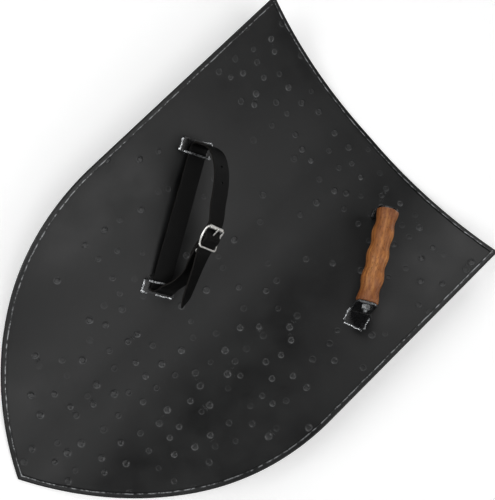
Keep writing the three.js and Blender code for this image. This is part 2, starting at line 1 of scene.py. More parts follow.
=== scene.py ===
"""A black hammered steel heater shield, lying on its front, seen from the back: a bent sheet with
a folded hem, a turned wooden finger grip between two welded brackets, and a buckled leather arm
belt through two welded keepers. Shapes are worked out in millimetres; the scene is in metres."""

import bpy
import numpy as np
from mathutils import Matrix


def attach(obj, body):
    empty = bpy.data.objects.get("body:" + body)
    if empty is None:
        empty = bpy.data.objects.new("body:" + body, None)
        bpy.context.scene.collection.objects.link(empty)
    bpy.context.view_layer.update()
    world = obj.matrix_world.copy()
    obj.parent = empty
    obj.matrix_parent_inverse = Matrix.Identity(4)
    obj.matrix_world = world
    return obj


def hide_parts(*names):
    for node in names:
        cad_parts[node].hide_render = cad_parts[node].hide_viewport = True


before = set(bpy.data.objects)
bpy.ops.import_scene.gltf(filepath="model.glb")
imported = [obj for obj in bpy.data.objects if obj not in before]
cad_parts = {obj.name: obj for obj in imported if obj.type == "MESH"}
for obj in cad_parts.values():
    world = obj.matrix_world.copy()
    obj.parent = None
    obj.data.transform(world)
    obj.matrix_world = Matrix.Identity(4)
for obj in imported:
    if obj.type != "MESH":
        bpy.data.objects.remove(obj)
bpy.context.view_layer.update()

# ---------------------------------------------------------------------------------------------
# The camera stands above the shield's left edge and looks almost straight down, turned so that
# the tip points to the lower left of the picture.
camera = bpy.data.objects.new("Camera", bpy.data.cameras.new("Camera"))
bpy.context.scene.collection.objects.link(camera)
camera.data.sensor_width = 36
camera.data.lens = 57.64
picture_right = (0.67306, 0.70066, 0.23678)
picture_up = (-0.73019, 0.68041, 0.06217)
toward_camera = (-0.11754, -0.21474, 0.96957)
turned = Matrix((picture_right, picture_up, toward_camera)).transposed().to_4x4()
camera.matrix_world = Matrix.Translation((-0.12402, -0.13719, 0.98014)) @ turned
bpy.context.scene.camera = camera

# ---------------------------------------------------------------------------------------------
# The shield is one mild steel sheet, cut out, hammered all over, bent about its long axis and
# folded back on itself round the edge. It is sprayed with black enamel, rubbed bare along the hem.
MM = 0.001
BEND, FLAT, SHEET = 338.0, 18.0, 1.6
HALF_HEIGHT, TOP_HALF, SHOULDER_HALF, SHOULDER_DEPTH = 305.0, 227.0, 218.0, 306.0
SHOULDER_RADIUS, SHOULDER_TURN = 310.0, np.radians(34)
HEM, HEM_RISE = 6.5, 1.9


def mesh_of(name, points, faces, attributes=None):
    """A mesh of closed surfaces, from points in millimetres. The faces are turned about where the
    volume that they enclose comes out negative."""
    points = np.asarray(points, float)
    fans = [np.asarray(f)[:, [0, i, i + 1]] for f in faces for i in range(1, np.shape(f)[1] - 1)]
    corners = np.concatenate(fans)
    a, b, c = points[corners[:, 0]], points[corners[:, 1]], points[corners[:, 2]]
    if np.einsum("ij,ij->", a, np.cross(b, c)) < 0:
        faces = [np.asarray(f)[:, ::-1] for f in faces]
    mesh = bpy.data.meshes.new(name)
    mesh.from_pydata((points * MM).tolist(), [], [q for f in faces for q in np.asarray(f).tolist()])
    for key, values in (attributes or {}).items():
        values = np.asarray(values, np.float32)
        kind, field = ("FLOAT", "value") if values.ndim == 1 else ("FLOAT_VECTOR", "vector")
        mesh.attributes.new(key, kind, "POINT").data.foreach_set(field, values.ravel())
    mesh.update()
    return mesh


def piece(name, mesh, stands_for, finish, crease=50):
    """An object that shows a mesh, smooth but for edges sharper than crease, and rides on the
    shield in place of the CAD nodes that it stands for."""
    mesh.polygons.foreach_set("use_smooth", np.ones(len(mesh.polygons), bool))
    mesh.set_sharp_from_angle(angle=np.radians(crease))
    mesh.materials.clear()
    mesh.materials.append(finish)
    made = bpy.data.objects.new(name, mesh)
    bpy.context.scene.collection.objects.link(made)
    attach(made, "root")
    if stands_for:
        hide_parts(*stands_for)
    return made


def linear(hex_colour):
    """The linear colour of an sRGB hex value such as "#2b2c2e"."""
    srgb = np.array([int(hex_colour[i:i + 2], 16) for i in (1, 3, 5)]) / 255
    return (*np.where(srgb <= 0.04045, srgb / 12.92, ((srgb + 0.055) / 1.055) ** 2.4), 1.0)


def finish_named(name):
    """A new material and its shader."""
    material = bpy.data.materials.new(name)
    material.use_nodes = True
    return material, material.node_tree.nodes["Principled BSDF"]


def node(material, kind, links=None, values=None, stops=(), **settings):
    """Adds a node: settings are its own properties, values its sockets' numbers, links the
    sockets that feed its inputs, and stops the (place, colour) pairs of a colour ramp, with each
    colour as hex or as a grey number."""
    made = material.node_tree.nodes.new("ShaderNode" + kind)
    for key, value in settings.items():
        setattr(made, key, value)
    for key, value in (values or {}).items():
        made.inputs[key].default_value = value
    for key, source in (links or {}).items():
        material.node_tree.links.new(source, made.inputs[key])
    elements = made.color_ramp.elements if stops else ()
    while len(elements) < len(stops):
        elements.new(0.5)
    for element, (place, colour) in zip(elements, stops):
        element.position = place
        element.color = linear(colour) if isinstance(colour, str) else (colour, colour, colour, 1)
    return made


def smooth(x, low, high):
    """0 below low, 1 above high, and a smooth step between."""
    t = np.clip((x - low) / (high - low), 0, 1)
    return t * t * (3 - 2 * t)


def chance(*cell):
    """A fixed number from 0 to 1 for each lattice cell: the fraction of a large sine."""
    mixed = sum(np.asarray(c, float) * f for c, f in zip(cell, (127.1, 311.7, 74.7)))
    return np.modf(np.abs(np.sin(mixed) * 43758.5453))[0]


def on_sheet(across, along, height):
    """The bend: flat near the axis, then an arc of BEND. across is measured along the bend, and
    height from the front face toward the back."""
    turn = np.maximum(np.abs(across) - FLAT, 0) / BEND
    reach = np.minimum(np.abs(across), FLAT) + (BEND - height) * np.sin(turn)
    rise = BEND * (1 - np.cos(turn)) + height * np.cos(turn)
    return np.stack(np.broadcast_arrays(np.sign(across) * reach, along, rise), -1)


def arc(start, heading, radius, turn, steps):
    """Points of a clockwise arc after start: start turned about a centre to the heading's right."""
    centre = start + radius * np.array([heading[1], -heading[0]])
    angles = -turn * np.arange(1, steps + 1)[:, None] / steps
    x, y = start - centre
    turned = [x * np.cos(angles) - y * np.sin(angles), x * np.sin(angles) + y * np.cos(angles)]
    return centre + np.concatenate(turned, 1)


def right_edge(rows):
    """The flat sheet's right edge from the top corner to the tip, rows steps of equal length:
    a straight run, a shoulder arc, and one arc that closes at the tip."""
    corner = np.array([TOP_HALF, HALF_HEIGHT])
    shoulder = np.array([SHOULDER_HALF, HALF_HEIGHT - SHOULDER_DEPTH])
    tip = np.array([0, -HALF_HEIGHT])
    heading = (shoulder - corner) / np.linalg.norm(shoulder - corner)
    rounded = arc(shoulder, heading, SHOULDER_RADIUS, SHOULDER_TURN, 400)
    cos, sin = np.cos(SHOULDER_TURN), np.sin(SHOULDER_TURN)
    later = np.array([heading[0] * cos + heading[1] * sin, heading[1] * cos - heading[0] * sin])
    chord = tip - rounded[-1]
    radius = chord @ chord / (2 * chord @ np.array([later[1], -later[0]]))
    lower = arc(rounded[-1], later, radius, 2 * np.arcsin(np.linalg.norm(chord) / (2 * radius)), 600)
    path = np.concatenate([[corner], [shoulder], rounded, lower])
    travelled = np.concatenate([[0], np.cumsum(np.linalg.norm(np.diff(path, axis=0), axis=1))])
    wanted = np.linspace(0, travelled[-1], rows + 1)
    return np.stack([np.interp(wanted, travelled, path[:, 0]), np.interp(wanted, travelled, path[:, 1])], 1)


def inset(loop, distance):
    """A closed loop moved inward by a distance, with mitred corners."""
    first = loop - np.roll(loop, 1, 0)
    second = np.roll(loop, -1, 0) - loop
    sides = (np.stack([-d[:, 1], d[:, 0]], 1) / np.linalg.norm(d, axis=1)[:, None] for d in (first, second))
    first, second = sides
    share = 1 + np.sum(first * second, 1, keepdims=True)
    return loop + (first + second) / share * np.reshape(distance, (-1, 1))


def undulation(across, along):
    """The slow waves that hammering leaves in the sheet: a sum of slanted sines."""
    waves = ((0.022, 0.013, 0.4), (-0.017, 0.031, 2.1), (0.041, -0.012, 4.0), (0.011, 0.052, 1.3))
    return sum(np.sin(a * across + b * along + c) for a, b, c in waves) / len(waves)


def hammered(across, along):
    """Hammer marks: a jittered lattice of round dents, thick over the lower middle and along the
    top edge, sparse elsewhere. Each is a bowl (1 - r^2)^2 with a low rim. Returns the depth, 1 at
    a dent's bottom, and the way from the nearest dent's middle in units of its size, with its
    strength, which is linear over a face, so that the enamel can draw each rim finely."""
    pitch, slant = 25.0, np.radians(-10)
    u = (across * np.cos(slant) + along * np.sin(slant)) / pitch
    v = (along * np.cos(slant) - across * np.sin(slant)) / pitch
    total = np.zeros_like(u)
    nearest, middle_of = np.full(u.shape, 99.0), np.zeros((*u.shape, 3))
    for i in (-1, 0, 1):
        for j in (-1, 0, 1):
            a, b = np.floor(u) + i, np.floor(v) + j
            cu = a + 0.5 + 0.62 * (chance(a, b, 1) - 0.5)
            cv = b + 0.5 + 0.62 * (chance(a, b, 2) - 0.5)
            x = pitch * (cu * np.cos(slant) - cv * np.sin(slant))
            y = pitch * (cu * np.sin(slant) + cv * np.cos(slant))
            depth = HALF_HEIGHT - y
            middle = smooth(x, -110, -40) * (1 - smooth(x, 130, 200)) * smooth(depth, 215, 260)
            top = smooth(depth, 12, 30) * (1 - smooth(depth, 95, 130))
            here = chance(a, b, 3) < 0.22 + 0.74 * np.maximum(middle, top)
            size = 3.1 + 1.0 * chance(a, b, 4)
            away = np.hypot(u - cu, v - cv) * pitch / size
            bowl = np.maximum(1 - away**2, 0) ** 2 - 0.22 * np.exp(-(((away - 1.15) / 0.28) ** 2))
            strength = 0.2 + 0.8 * chance(a, b, 5) ** 1.3
            total += here * strength * bowl
            closer = here & (away < nearest)
            nearest = np.where(closer, away, nearest)
            offset = np.stack([(u - cu) * pitch / size, (v - cv) * pitch / size, strength * (away < 1.9)], -1)
            middle_of = np.where(closer[..., None], offset, middle_of)
    return total, middle_of


def shield_sheet():
    """The back is a grid between the two inset edges; the front the same grid at half the
    fineness; the folded hem is a section carried round the edge. Returns points, faces, how far
    each point is on the hem's ridge, and its place in a hammer mark."""
    rows, columns, deep = 326, 206, 0.42
    right = right_edge(rows)
    corner = np.linalg.norm(right - right[0], axis=1)
    right[:, 0] -= 1.3 * np.clip(1 - corner / 5, 0, 1) ** 2
    left = right * [-1, 1]
    top_x = np.linspace(right[0, 0], left[0, 0], columns + 1)[1:-1]
    top = np.stack([top_x, np.full(columns - 1, HALF_HEIGHT)], 1)
    edge = np.concatenate([left, right[:-1][::-1], top])
    round_edge = np.linspace(0, 1, len(edge), endpoint=False) * 2 * np.pi
    waver = 0.16 * np.sin(37 * round_edge) + 0.12 * np.sin(83 * round_edge + 1)
    waver += 0.1 * np.sin(151 * round_edge + 2)

    inner = inset(edge, np.full(len(edge), HEM + 1.2))
    across_share = np.linspace(0, 1, columns + 1)
    near, far = inner[:rows + 1], inner[2 * rows - np.arange(rows + 1)]
    across = near[:, None, 0] + (far - near)[:, None, 0] * across_share
    along = near[:, None, 1] + (far - near)[:, None, 1] * across_share
    to_sides = np.minimum(across - near[:, None, 0], far[:, None, 0] - across)
    to_hem = np.minimum(HALF_HEIGHT - HEM - along, to_sides)
    fade = smooth(to_hem, 1, 14)
    dent, mark = hammered(across, along)
    dent = dent * fade
    wave = 0.22 * undulation(across, along) * fade
    back = on_sheet(across, along, SHEET - deep * dent + wave).reshape(-1, 3)
    front = on_sheet(across, along, 0.42 - 0.3 * np.clip(dent, 0, 1) * fade + 0.3 * wave)[::2, ::2]
    front = front.reshape(-1, 3)

    def grid(first, high, wide, tip_row):
        """Quads of a grid whose last row is one point, and triangles to that point."""
        at = first + np.arange(high)[:, None] * (wide + 1) + np.arange(wide + 1)
        quads = np.stack([at[:-1, :-1], at[1:, :-1], at[1:, 1:], at[:-1, 1:]], -1).reshape(-1, 4)
        fan = np.stack([at[-1, :-1], np.full(wide, tip_row), at[-1, 1:]], -1)
        ring = np.concatenate([at[:, 0], [tip_row], at[::-1, -1], at[0, ::-1][1:-1]])
        return quads, fan, ring

    tip_back = rows * (columns + 1)
    back = back[:tip_back + 1]
    quads, fan, ring_back = grid(0, rows, columns, tip_back)
    first = len(back)
    high, wide = rows // 2, columns // 2
    tip_front = first + high * (wide + 1)
    front = front[:high * (wide + 1) + 1]
    front_quads, front_fan, ring_front = grid(first, high, wide, tip_front)

    # The hem's section from the groove at its inner side round to the front: distance from the
    # edge, height, bare ridge and painted shade (over 0 worn bare, under 0 painted near black as
    # shade and dirt in the groove and fold) and how much it wavers
    top_level = SHEET + HEM_RISE
    section = (
        (HEM + 0.5, SHEET, -0.5, 0.4), (HEM, SHEET + 0.1, -1, 1), (HEM - 0.1, SHEET + 1.1, -0.8, 1),
        (HEM - 0.45, top_level - 0.12, 0.7, 0.9), (HEM - 1.1, top_level, 1, 0.8),
        (HEM - 1.8, top_level - 0.12, 0.6, 0.6),
        (HEM - 2.6, top_level - 0.3, 0.1, 0.3), (2.2, top_level - 0.32, 0, 0), (1.2, top_level - 0.4, 0, 0),
        (0.5, top_level - 0.8, -0.6, 0), (0.0, top_level - 1.7, -0.8, 0), (0.15, 0.6, -0.5, 0),
        (1.1, 0, 0, 0), (2.4, 0, 0, 0),
    )
    loops, rims = [], []
    for distance, height, rim, wavering in section:
        flat = inset(edge, distance + wavering * (waver - 0.3))
        loops.append(on_sheet(flat[:, 0], flat[:, 1], height))
        rims.append(np.full(len(edge), float(rim)))
    start = first + len(front)
    size = len(edge)
    rings = [ring_back] + [start + size * i + np.arange(size) for i in range(len(section))]
    hem = [np.stack([a, b, np.roll(b, -1), np.roll(a, -1)], -1) for a, b in zip(rings, rings[1:])]
    last = rings[-1]
    even, odd, after = last[::2], last[1::2], np.roll(last[::2], -1)
    join = np.concatenate([
        np.stack([even, ring_front, odd], -1), np.stack([odd, ring_front, np.roll(ring_front, -1)], -1),
        np.stack([odd, np.roll(ring_front, -1), after], -1),
    ])
    points = np.concatenate([back, front, *loops])
    rim = np.concatenate([np.zeros(len(back) + len(front)), *rims])
    unmarked = np.zeros((len(points) - len(back), 3)) + [9, 9, 0]
    marks = np.concatenate([mark.reshape(-1, 3)[:len(back)], unmarked])
    faces = [quads, fan, front_quads[:, ::-1], front_fan[:, ::-1], *hem, join]
    return points, faces, rim, marks


# Black enamel sprayed on bare steel: a satin film, so soft broad reflections. It is cloudy over
# 55 mm where it lies thinner, specked with dust, and has a fine orange peel, drawn at 1.8 mm. Its
# hammer marks are painted lighter, most on the side toward the tip, as a painted highlight, and it is worn to
# steel along the hem's ridge.
enamel, shader = finish_named("satin_black_enamel_on_hammered_steel")
shader.inputs["Specular IOR Level"].default_value = 0.38
place = node(enamel, "TexCoord").outputs["Object"]
hem_wear_and_shade = node(enamel, "Attribute", attribute_name="rim").outputs["Fac"]
cloud = node(enamel, "TexNoise", {"Vector": place},
             {"Scale": 1 / (55 * MM), "Detail": 4, "Roughness": 0.55}).outputs["Fac"]
speck = node(enamel, "TexNoise", {"Vector": place}, {"Scale": 1 / (4.5 * MM), "Detail": 3}).outputs["Fac"]
peel = node(enamel, "TexNoise", {"Vector": place}, {"Scale": 1 / (1.8 * MM), "Detail": 2}).outputs["Fac"]

# A hammer mark's rim is a thin ring where the hammer's edge bit
mark_place = node(enamel, "Attribute", attribute_name="mark").outputs["Vector"]
in_mark = node(enamel, "SeparateXYZ", {"Vector": mark_place}).outputs
squared = node(enamel, "Math", {0: in_mark["X"], 1: in_mark["X"]}, operation="MULTIPLY").outputs[0]
squared = node(enamel, "Math", {0: in_mark["Y"], 1: in_mark["Y"], 2: squared},
               operation="MULTIPLY_ADD").outputs[0]
away = node(enamel, "Math", {0: squared}, operation="SQRT").outputs[0]
halved = node(enamel, "Math", {0: away}, {1: 0.5}, operation="MULTIPLY").outputs[0]
ring_stops = ((0.0, 0.0), (0.3, 0.0), (0.42, 0.7), (0.47, 1.0), (0.53, 0.6), (0.66, 0.0))
ring = node(enamel, "ValToRGB", {"Fac": halved}, stops=ring_stops).outputs["Color"]
ring = node(enamel, "Math", {0: ring, 1: in_mark["Z"]}, operation="MULTIPLY").outputs[0]
bowl = node(enamel, "ValToRGB", {"Fac": away}, stops=((0.7, 0.45), (1.0, 0.0))).outputs["Color"]
bowl = node(enamel, "Math", {0: bowl, 1: in_mark["Z"]}, operation="MULTIPLY").outputs[0]

# Each mark is painted lighter most on its side toward the tip, a painted highlight where that
# wall would face the light, and in patches of about 3.5 mm
flat_mark = node(enamel, "CombineXYZ", {"X": in_mark["X"], "Y": in_mark["Y"]}).outputs[0]
tipward_highlight_side = node(enamel, "VectorMath", {0: flat_mark}, {1: (0.45, -0.42, 0)}, operation="DOT_PRODUCT")
tipward_highlight_side = node(enamel, "Math", {0: tipward_highlight_side.outputs["Value"]}, {1: 0.4}, operation="ADD").outputs[0]
tipward_highlight_side = node(enamel, "ValToRGB", {"Fac": tipward_highlight_side}, stops=((0.1, 0.25), (0.9, 1.0))).outputs["Color"]
patchy = node(enamel, "TexNoise", {"Vector": place},
              {"Scale": 1 / (3.5 * MM), "Detail": 3, "Roughness": 0.6}).outputs["Fac"]
patchy = node(enamel, "ValToRGB", {"Fac": patchy}, stops=((0.3, 0.1), (0.62, 1.0))).outputs["Color"]
painted_mark_highlight = node(enamel, "Math", {0: bowl, 1: ring}, operation="MAXIMUM").outputs[0]
painted_mark_highlight = node(enamel, "Math", {0: painted_mark_highlight, 1: tipward_highlight_side}, operation="MULTIPLY").outputs[0]
painted_mark_highlight = node(enamel, "Math", {0: painted_mark_highlight, 1: patchy}, operation="MULTIPLY").outputs[0]

# The hem's ridge is worn bare in dashes of about 7 mm
streak = node(enamel, "TexNoise", {"Vector": place},
              {"Scale": 1 / (7 * MM), "Detail": 5, "Roughness": 0.7}).outputs["Fac"]
dashes = node(enamel, "ValToRGB", {"Fac": streak}, stops=((0.39, 0.0), (0.56, 1.0))).outputs["Color"]
bare = node(enamel, "Math", {0: hem_wear_and_shade, 1: dashes}, operation="MULTIPLY", use_clamp=True).outputs[0]
bare = node(enamel, "Math", {0: bare}, {1: 2.2}, operation="POWER").outputs[0]

paint = node(enamel, "ValToRGB", {"Fac": cloud}, stops=((0.3, "#0b0b0c"), (0.7, "#171818"))).outputs["Color"]
dust = node(enamel, "ValToRGB", {"Fac": speck}, stops=((0.62, 0.0), (0.8, 0.35))).outputs["Color"]
colour = node(enamel, "Mix", {0: dust, 6: paint}, {7: linear("#262728")}, data_type="RGBA").outputs[2]
# Painted highlight: the hammer marks are lightened toward pale grey
colour = node(enamel, "Mix", {0: painted_mark_highlight, 6: colour}, {7: linear("#6c6d6e")}, data_type="RGBA").outputs[2]
# Dirt and deep shadow in the groove inside the hem and round its outer fold
groove = node(enamel, "Math", {0: hem_wear_and_shade}, {1: -1.0}, operation="MULTIPLY", use_clamp=True).outputs[0]
colour = node(enamel, "Mix", {0: groove, 6: colour}, {7: linear("#020202")}, data_type="RGBA").outputs[2]
colour = node(enamel, "Mix", {0: bare, 6: colour}, {7: linear("#a9abad")}, data_type="RGBA").outputs[2]
dull = node(enamel, "ValToRGB", {"Fac": cloud}, stops=((0.3, 0.3), (0.7, 0.44))).outputs["Color"]
rough = node(enamel, "Math", {0: bowl, 2: dull}, {1: -0.08}, operation="MULTIPLY_ADD").outputs[0]
grit = node(enamel, "Bump", {"Height": peel}, {"Strength": 0.25, "Distance": 0.06 * MM}).outputs["Normal"]
grit = node(enamel, "Bump", {"Height": ring, "Normal": grit},
            {"Strength": 1.0, "Distance": 0.4 * MM}).outputs["Normal"]
for socket, source in (("Base Color", colour), ("Roughness", rough), ("Metallic", bare), ("Normal", grit)):
    enamel.node_tree.links.new(source, shader.inputs[socket])

points, faces, rim, marks = shield_sheet()
piece("shield_sheet", mesh_of("shield_sheet", points, faces, {"rim": rim, "mark": marks}),
      ["shield_plate"], enamel)

# ---------------------------------------------------------------------------------------------
# The brackets and keepers are short lengths of flat steel bar, bent to an L, drilled or slotted,
# with their feet dressed to the sheet's curve. They are welded on before the enamel goes on.
GAP = 0.3
GRIP_ANGLE, BELT_ANGLE = np.radians(29.4), np.radians(33.5)
GRIP_FROM_AXIS, GRIP_FROM_TOP, BELT_FROM_AXIS, BELT_FROM_TOP = 121.3, 123.8, -96.5, 266.5
GRIP_HALF, GRIP_LEVEL, BORE = 60.5, 48.5, 3.3
BRACKET_WIDE, BRACKET_THICK, BRACKET_OVER_SCREW, BRACKET_CORNER = 26.0, 2.6, 9.0, 9.5
UPPER_FOOT, LOWER_FOOT, FOOT_TURN = 15.0, 22.5, np.radians(-13)
KEEPER_INSIDE, KEEPER_WIDE, KEEPER_THICK, KEEPER_HIGH, KEEPER_CORNER = 79.0, 38.5, 2.4, 16.0, 3.0
UPPER_KEEPER_FOOT, LOWER_KEEPER_FOOT = 19.8, 16.8
SLOT_LEVEL, HALF_SLOT, HALF_OPEN = 8.5, 12.9, 2.6


def seat(across, from_top, angle):
    """Carries points from a seat on the sheet's back into place: X across, Y along the grip or
    belt, Z up from the sheet. The seat is tilted with the bend, then turned by angle."""
    turn = np.sign(across) * max(abs(across) - FLAT, 0) / BEND
    outward, upward = np.array([np.cos(turn), 0, np.sin(turn)]), np.array([0, 1, 0])
    cos, sin = np.cos(angle), np.sin(angle)
    axes = np.array([outward * cos + upward * sin, upward * cos - outward * sin, np.cross(outward, upward)])
    origin = on_sheet(across, HALF_HEIGHT - from_top, SHEET)
    return lambda local: np.asarray(local) @ axes + origin


grip_seat = seat(GRIP_FROM_AXIS, GRIP_FROM_TOP, GRIP_ANGLE)
belt_seat = seat(BELT_FROM_AXIS, BELT_FROM_TOP, BELT_ANGLE)


def rise(angle, across, along):
    """How far the bent sheet stands over a seat's flat plane: a circle's sagitta at its reach."""
    reach = across * np.cos(angle) - along * np.sin(angle)
    return (BEND - SHEET) - np.sqrt((BEND - SHEET) ** 2 - reach**2)


def skin(rings, closed=False):
    """The surface through rings, an array (rings, points round, 3). It closes on itself where
    closed, and otherwise each end is shut by a fan to the middle of its ring."""
    rings = np.asarray(rings, float)
    count, around = rings.shape[:2]
    at = np.arange(count * around).reshape(count, around)
    on, beside = (np.roll(at, -1, 0), at) if closed else (at[1:], at[:-1])
    quads = np.stack([beside, np.roll(beside, -1, 1), np.roll(on, -1, 1), on], -1).reshape(-1, 4)
    points = rings.reshape(-1, 3)
    if closed:
        return points, [quads]
    points = np.concatenate([points, [rings[0].mean(0), rings[-1].mean(0)]])
    first, last = np.full(around, len(points) - 2), np.full(around, len(points) - 1)
    start = np.stack([at[0], first, np.roll(at[0], -1)], -1)
    end = np.stack([at[-1], np.roll(at[-1], -1), last], -1)
    return points, [quads, start, end]


def together(*surfaces):
    """Several closed surfaces as one list of points and faces."""
    points, faces, first = [], [], 0
    for some, sides in surfaces:
        points.append(some)
        faces += [f + first for f in sides]
        first += len(some)
    return np.concatenate(points), faces


def joined(name, base, tool, operation="DIFFERENCE"):
    """A mesh with another cut out of it, or joined to it, both given as meshes."""
    scratch = [bpy.data.objects.new(name + "_scratch", m) for m in (base, tool)]
    for each in scratch:
        bpy.context.scene.collection.objects.link(each)
    cut = scratch[0].modifiers.new("cut", "BOOLEAN")
    cut.operation, cut.solver, cut.object = operation, "EXACT", scratch[1]
    bpy.context.view_layer.update()
    result = bpy.data.meshes.new_from_object(scratch[0].evaluated_get(bpy.context.evaluated_depsgraph_get()))
    for each in scratch:
        bpy.data.objects.remove(each)
    result.name = name
    return result


def bar_section(half_width, half_thick, rounding, flats=10, arcs=4):
    """A flat bar's rounded section: across and out, each an array (stations, points round)."""
    half_width, half_thick = (np.atleast_1d(v)[:, None] for v in np.broadcast_arrays(half_width, half_thick))
    rounding = np.minimum(rounding, 0.98 * np.minimum(half_width, half_thick))
    turn = np.radians(np.linspace(0, 90, arcs + 1))[None]
    share = np.linspace(-1, 1, flats)[None, 1:-1]
    wide, thick = half_width - rounding, half_thick - rounding
    across = [wide + rounding * np.cos(turn), -wide * share, -wide - rounding * np.sin(turn)]
    out = [thick + rounding * np.sin(turn), half_thick + 0 * share, thick + rounding * np.cos(turn)]
    across = np.concatenate([*across, *(-a for a in across)], 1)
    out = np.concatenate([*out, *(-a for a in out)], 1)
    return across, out


def bent_bar(angle, side, width, foot, thick, inside, top, corner, turn=0.0, level_top=False):
    """An L of flat bar as a section carried along its bent middle line: in along the foot, round
    the bend, up the leg, which narrows to round corners. It is lifted by the sheet's own rise."""
    bend, low = 1.2 + thick / 2, GAP + thick / 2
    ends = 1 - np.cos(np.linspace(0, np.pi / 2, 7))
    run = np.concatenate([foot - 1.4 * ends[:-1], np.linspace(foot - 1.4, thick / 2 + bend, 12)])
    round_bend = np.radians(np.linspace(-90, -180, 9))[1:]
    leg = np.linspace(low + bend, top - corner, 8)[1:]
    crown = top - corner + corner * np.sin(np.linspace(0, np.pi / 2, 12))[1:]
    upright = np.full(len(leg) + len(crown), thick / 2)
    y = np.concatenate([run, thick / 2 + bend * (1 + np.cos(round_bend)), upright])
    z = np.concatenate([np.full(len(run), low), low + bend * (1 + np.sin(round_bend)), leg, crown])
    heading = np.stack([np.gradient(y), np.gradient(z)], 1)
    heading /= np.linalg.norm(heading, axis=1)[:, None]
    from_top, from_end = np.clip(corner - (top - z), 0, corner), np.clip(1.4 - (foot - y), 0, 1.4)
    half = width / 2 - corner + np.sqrt(corner**2 - from_top**2) - 1.4 + np.sqrt(1.4**2 - from_end**2)
    across, out = bar_section(np.maximum(half, 0.3), thick / 2, 0.45)
    along = y[:, None] + out * heading[:, 1:]
    over = z[:, None] - out * heading[:, :1]
    swing = turn * smooth(along, thick, 7)
    x = across * np.cos(swing) - side * along * np.sin(swing)
    along = side * (inside + along * np.cos(swing)) + across * np.sin(swing)
    lift = rise(angle, x, along) * (1 - smooth(over, 5, 26) if level_top else 1)
    half = np.maximum(half, 0.3)[:, None]
    sheared = np.maximum(smooth(np.abs(across), half - 0.5, half), smooth(z, top - 0.7, top)[:, None]).ravel()
    return *skin(np.stack([x, along, over + lift], -1)), np.append(sheared, [1, 1])


def lathe(profile, steps=48, along="y", level=0.0):
    """A profile of (radius, place) turned about an axis, one ring for each of its points."""
    radius, place = np.asarray(profile, float).T[:, :, None]
    turn = np.linspace(0, 2 * np.pi, steps, endpoint=False)[None]
    side, up, place = np.broadcast_arrays(radius * np.sin(turn), level + radius * np.cos(turn), place)
    axes = {"x": [place, side, up], "y": [side, place, up], "z": [side, up, place]}
    return np.stack(axes[along], -1)


def slot_cutter(side):
    """The strap's slot, punched square through the keeper: a block that follows the sheet."""
    x = np.linspace(-HALF_SLOT, HALF_SLOT, 14)[:, None] + np.zeros(4)
    y = side * (KEEPER_INSIDE + np.array([-2.0, 5.0, 5.0, -2.0])) + 0 * x
    lift = rise(BELT_ANGLE, x, side * (KEEPER_INSIDE + KEEPER_THICK / 2))
    z = SLOT_LEVEL + np.array([-HALF_OPEN, -HALF_OPEN, HALF_OPEN, HALF_OPEN]) + lift
    return skin(np.stack([x, y, z], -1))


# The same enamel, thicker and glossier where it runs over mill scale, whose lumps are about 3 mm,
# so it gives small sharp glints. It is chipped to bright steel on the sheared edges.
hardware, shader = finish_named("gloss_black_enamel_on_welded_steel")
place = node(hardware, "TexCoord").outputs["Object"]
scale = node(hardware, "TexNoise", {"Vector": place},
             {"Scale": 1 / (3 * MM), "Detail": 5, "Roughness": 0.6}).outputs["Fac"]
paint = node(hardware, "ValToRGB", {"Fac": scale}, stops=((0.3, "#0c0c0d"), (0.7, "#151516")))
edge = node(hardware, "Attribute", attribute_name="edge").outputs["Fac"]
chips = node(hardware, "Math", {0: edge, 1: scale}, operation="MULTIPLY").outputs[0]
chips = node(hardware, "ValToRGB", {"Fac": chips}, stops=((0.42, 0.0), (0.52, 0.85))).outputs["Color"]
colour = node(hardware, "Mix", {0: chips, 6: paint.outputs["Color"]}, {7: linear("#8f9193")},
              data_type="RGBA").outputs[2]
rough = node(hardware, "ValToRGB", {"Fac": scale}, stops=((0.3, 0.22), (0.75, 0.34))).outputs["Color"]
lumps = node(hardware, "Bump", {"Height": scale}, {"Strength": 0.2, "Distance": 0.3 * MM}).outputs["Normal"]
for socket, source in (("Base Color", colour), ("Roughness", rough), ("Metallic", chips), ("Normal", lumps)):
    hardware.node_tree.links.new(source, shader.inputs[socket])

for name, side, foot in (("upper", 1, UPPER_KEEPER_FOOT), ("lower", -1, LOWER_KEEPER_FOOT)):
    bar, sides, edges = bent_bar(BELT_ANGLE, side, KEEPER_WIDE, foot, KEEPER_THICK, KEEPER_INSIDE,
                                 KEEPER_HIGH, KEEPER_CORNER)
    bar = mesh_of("bar", belt_seat(bar), sides, {"edge": edges})
    slot, slot_sides = slot_cutter(side)
    mesh = joined("keeper_" + name, bar, mesh_of("slot", belt_seat(slot), slot_sides))
    piece("keeper_" + name, mesh, ["belt_keeper_" + name], hardware, 40)

# The upper bracket is bored for the screw's sunk head; its edges take fewer bright chips, so
# that it stays dark where the grip's shade falls, a painted shade
inside = GRIP_HALF + GAP
outside = inside + BRACKET_THICK
for name, side, foot, turn, sunk, edge_chips_and_shade in (("upper", 1, UPPER_FOOT, 0.0, 5.7, 0.3),
                                           ("lower", -1, LOWER_FOOT, FOOT_TURN, BORE, 1.3)):
    bar, sides, edges = bent_bar(GRIP_ANGLE, side, BRACKET_WIDE, foot, BRACKET_THICK, inside,
                                 GRIP_LEVEL + BRACKET_OVER_SCREW, BRACKET_CORNER, turn, True)
    bar = mesh_of("bar", grip_seat(bar), sides, {"edge": edges * edge_chips_and_shade})
    bore = [(BORE, side * (inside - 2)), (BORE, side * (inside + GAP)), (sunk, side * outside),
            (sunk, side * (outside + 2.4))]
    bore, bore_sides = skin(lathe(bore, 40, "y", GRIP_LEVEL))
    mesh = joined("grip_bracket_" + name, bar, mesh_of("bore", grip_seat(bore), bore_sides))
    piece("grip_bracket_" + name, mesh, ["handle_bracket_" + name], hardware, 40)
